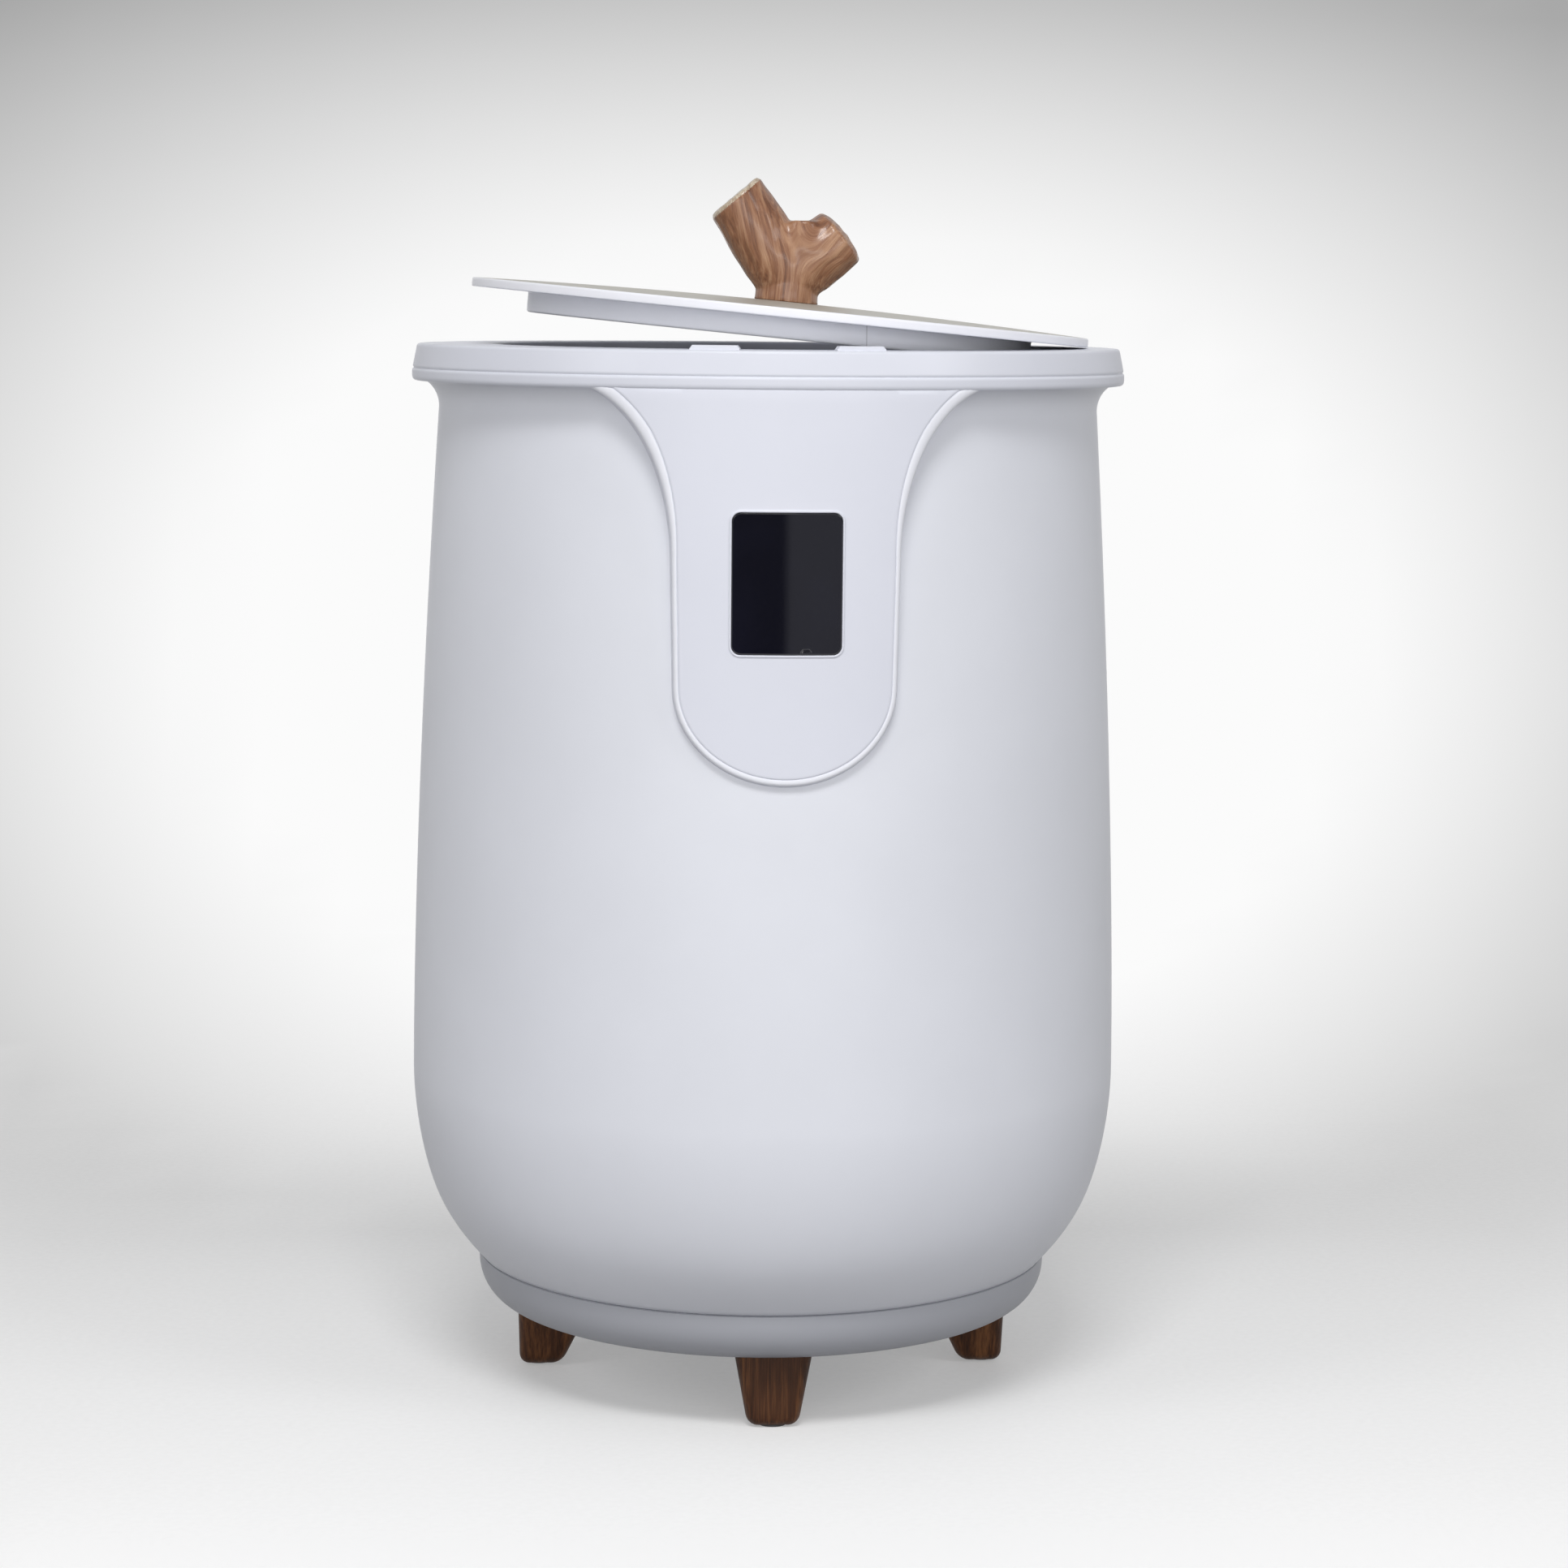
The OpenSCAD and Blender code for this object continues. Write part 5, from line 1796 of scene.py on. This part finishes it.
@dataclass(frozen=True)
class View:
    """The photograph's camera, which looks at the bucket from the front.

    Attributes:
        distance: from the bucket's axis, in mm.
        azimuth: angle about the axis, from the front to the right.
        height: height above the floor, in mm.
        yaw: how far right of the axis it looks.
        pitch: how far it looks up.
        roll: how far it is rolled.
        lens: focal length in mm, for a picture 36 mm wide.
    """

    distance: float = 1730.46
    azimuth: float = -3.07
    height: float = 493.63
    yaw: float = 0.29
    pitch: float = -7.33
    roll: float = 0.51
    lens: float = 87.23

    def camera(self) -> None:
        """Adds the camera at the photograph's viewing angle."""
        az, p, roll = (math.radians(a) for a in (self.azimuth, self.pitch, self.roll))
        place = Vector((self.distance * math.sin(az), -self.distance * math.cos(az), self.height))
        heading = math.atan2(-place.x, -place.y) + math.radians(self.yaw)
        forward = Vector((math.sin(heading) * math.cos(p), math.cos(heading) * math.cos(p), math.sin(p)))
        level = Vector((math.cos(heading), -math.sin(heading), 0))
        up = level.cross(forward)
        right = level * math.cos(roll) + up * math.sin(roll)
        top = up * math.cos(roll) - level * math.sin(roll)
        data = bpy.data.cameras.new("camera")
        data.lens = self.lens
        data.sensor_width = 36
        data.clip_end = 50
        obj = bpy.data.objects.new("camera", data)
        turn = Matrix((right, top, -forward)).transposed()
        obj.matrix_world = Matrix.Translation(place * MM) @ turn.to_4x4()
        bpy.context.scene.collection.objects.link(obj)
        bpy.context.scene.camera = obj

    def slopes(self, place: Vector) -> Point:
        """Gives where a place is in the view.

        Args:
            place: a point in metres.

        Returns:
            How far it is right of the view's middle and below it, as slopes.
        """
        az = math.radians(self.azimuth)
        deep = max(place.y + self.distance * MM, 0.3)
        side = (place.x - self.distance * MM * math.sin(az)) / deep - math.tan(math.radians(self.yaw) - az)
        return side, math.tan(math.atan2(self.height * MM - place.z, deep) + math.radians(self.pitch))


@dataclass(frozen=True)
class SweepTone:
    """How pale the sweep looks: its glow paints a pool of light, brightest on the wall behind the bucket.

    Attributes:
        peak: linear brightness of the wall's brightest place.
        peak_drop: how far below the view's middle it is, as a slope.
        side_fall: how fast the wall darkens to the sides.
        rise_fall: how fast it darkens upward and downward.
        least: least share of the brightness up and down the wall.
        floor_drop: slope below the view's middle at which the floor's tone starts.
        floor: least brightness of the floor.
        near_drop: slope at which the floor starts to brighten toward the camera.
        near_rise: how fast it does.
        under: least brightness above the floor.
        most: brightest of all.
        far: brightness outside the photograph's view.
        edge: slope at which the view's outside starts, and over what slope the tone changes.
        paper: share of the lamps' light that the paper near the bucket shows.
        lit: brightness of the lamps' light on the floor behind the bucket, and what is added in front; the
            value behind is low partly for the bucket's wide soft shadow, so the glow partly paints light over
            that shadow.
        front: where that addition ends along Y, in metres, and how wide the change is.
        camera_side: the same for the tone far in front of the bucket.
        near: the same for the lit paper's distance from the bucket's axis.
        wall_start: the same for the lit paper along Y, where the wall takes over.
    """

    peak: float = 1.19
    peak_drop: float = -0.0355
    side_fall: float = 8.06
    rise_fall: float = 17.9
    least: float = 0.2
    floor_drop: float = 0.07
    floor: float = 0.62
    near_drop: float = 0.114
    near_rise: float = 3.65
    under: float = 0.36
    most: float = 0.965
    far: float = 0.84
    edge: Point = (0.215, 0.1)
    paper: float = 0.66
    lit: Point = (0.675, 0.215)
    front: Point = (0.12, 0.37)
    camera_side: Point = (-0.6, 0.5)
    near: Point = (1.3, 0.7)
    wall_start: Point = (0.75, 0.35)

    def look(self, view: View, place: Vector) -> float:
        """Gives how pale the sweep should look at a place.

        Args:
            view: the photograph's camera.
            place: a point of the sweep in metres.

        Returns:
            The linear brightness.
        """
        side, drop = view.slopes(place)
        rise = max(self.least, 1 - self.rise_fall * (drop - self.peak_drop) ** 2)
        wall = self.peak * max(0.0, 1 - self.side_fall * side * side) * rise
        floor = self.under
        if drop > self.floor_drop:
            floor = self.floor + self.near_rise * max(0.0, drop - self.near_drop)
        seen = min(self.most, max(wall, floor))
        start, width = self.edge
        past = max(clamp((max(abs(side), -drop) - start) / width), fade(place.y, self.camera_side))
        return seen + (self.far - seen) * past

    def matt(self, place: Vector) -> float:
        """Gives the part of the tone that the lamps light, which fades far from the bucket.

        Args:
            place: a point of the sweep in metres.

        Returns:
            The paper's diffuse tone.
        """
        near = fade(math.hypot(place.x, place.y), self.near)
        return self.paper * near * fade(place.y, self.wall_start)

    def glow(self, view: View, place: Vector) -> float:
        """Gives the part of the tone that the lamps leave out.

        Args:
            view: the photograph's camera.
            place: a point of the sweep in metres.

        Returns:
            The paper's own brightness.
        """
        lit = self.lit[0] + self.lit[1] * fade(place.y, self.front)
        return max(0.0, self.look(view, place) - self.matt(place) * lit)


@dataclass
class Studio:
    """The floor sweep, the lamps, the world and the camera.

    Attributes:
        view: the photograph's camera.
        tone: how pale the sweep looks.
        lamps: the lamps.
        world: strength of the world's light.
        paper: the sweep's finish.
        room: the reflected card's finish.
        bend_y: where the floor starts to bend up, in metres.
        bend_r: radius of the bend, in metres.
        wall_z: height of the backdrop, in metres.
        card_y: where the reflected card stands, in metres.
    """

    view: View = View()
    tone: SweepTone = SweepTone()
    lamps: tuple[Lamp, ...] = (
        Lamp("high_front", (-0.2, -1.87, 2.76), (0, 0, 0.3), (1.1, 0.7), 42),
        Lamp("low_front", (-0.1, -3.1, 0.62), (0, 0, 0.32), (4.2, 0.8), 40),
        Lamp("right_side", (2.3, -1.7, 1.7), (0, 0, 0.34), (1.0, 1.2), 17),
        Lamp("left_side", (-2.4, -1.5, 1.7), (0, 0, 0.34), (1.0, 1.2), 14),
        Lamp("low_back", (0.1, 2.5, 0.5), (0, 0, 0.3), (1.6, 0.8), 21),
    )
    world: float = 0.22
    paper: Finish = Paper("studio_paper")
    room: Finish = RoomReflection("studio_card")
    bend_y: float = 0.5
    bend_r: float = 0.45
    wall_z: float = 3.4
    card_y: float = -2.2

    def grid(self, name: str, points: Sequence[Sequence[Triple]], finish: Finish, sharp: float = 32) -> Piece:
        """Makes an open sheet.

        Args:
            name: its name.
            points: its rows of points, in metres.
            finish: its finish.
            sharp: edges bent more than this many degrees stay sharp.

        Returns:
            The sheet.
        """
        bm = bmesh.new()
        join_all(bm, [[bm.verts.new(p) for p in row] for row in points], closed=False)
        obj = as_object(name, bm, sharp)
        obj.data.materials.append(finish.material())
        return obj

    def paper_sheet(self, name: str, line: Sequence[Point]) -> Piece:
        """Makes one sheet of the sweep with its tones stored on its vertices.

        Args:
            name: its name.
            line: its section, as points of Y and Z in metres.

        Returns:
            The sheet.
        """
        across = [-7.0, -3.0, *(-1.5 + 0.06 * i for i in range(51)), 3.0, 7.0]
        obj = self.grid(name, [[(x, y, z) for x in across] for y, z in line], self.paper, 80)
        if obj.data.polygons[0].normal.z < 0:
            obj.data.flip_normals()
        glow = obj.data.attributes.new("glow", "FLOAT", "POINT")
        matt = obj.data.attributes.new("matt", "FLOAT", "POINT")
        for i, v in enumerate(obj.data.vertices):
            matt.data[i].value = self.tone.matt(v.co)
            glow.data[i].value = self.tone.glow(self.view, v.co)
        return obj

    def sweep(self) -> list[Piece]:
        """Makes the floor and the backdrop that curves up from it and throws no light or shadow on the part.

        Returns:
            The floor and the backdrop.
        """
        start, bend = self.bend_y, self.bend_r
        floor = [(-6.0, 0.0), (-3.0, 0.0), *((-1.2 + 0.085 * i, 0.0) for i in range(21))]
        wall = [(start + bend * math.sin(a), bend - bend * math.cos(a)) for a in quarter(24)]
        wall += [(start + bend, bend + 0.04 * i) for i in range(1, 26)]
        wall.append((start + bend, self.wall_z))
        sheets = [self.paper_sheet("studio_floor", floor), self.paper_sheet("studio_backdrop", wall)]
        sheets[1].visible_diffuse = sheets[1].visible_shadow = False
        return sheets

    def card(self) -> Piece:
        """Makes a card that only the glass's reflection shows.

        Returns:
            The card.
        """
        rows = [[(x / 10, self.card_y, z) for x in range(-14, 15)] for z in (0.02, 0.3, 0.62)]
        obj = self.grid("studio_card", rows, self.room)
        obj.visible_camera = obj.visible_diffuse = obj.visible_shadow = obj.visible_transmission = False
        return obj

    def build(self) -> None:
        """Builds the studio round the part."""
        self.view.camera()
        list(self.sweep())
        self.card()
        for lamp in self.lamps:
            lamp.build()
        world = bpy.data.worlds.new("studio_world")
        world.use_nodes = True
        g = Graph(world.node_tree)
        back = g.add("Background")
        back.inputs["Color"].default_value = (1, 1, 1, 1)
        seen = g.add("LightPath").outputs["Is Camera Ray"]
        g.join(g.span(seen, self.world, self.tone.far), back.inputs["Strength"])
        g.join(back.outputs[0], g.add("OutputWorld").inputs["Surface"])
        bpy.context.scene.world = world
        bpy.context.scene.view_settings.view_transform = "Standard"


def main() -> None:
    """Builds the studio and every piece of the towel warmer in order."""
    logging.basicConfig(level=logging.INFO, format="%(message)s")
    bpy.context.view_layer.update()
    Studio().build()
    Bucket().build()
    ControlPanel().build()
    for side in Side:
        Foot(side).build()
    Lid().build()
    BranchHandle().build()
    for group in CARRIED:
        group.dress()


if __name__ == "__main__":
    main()
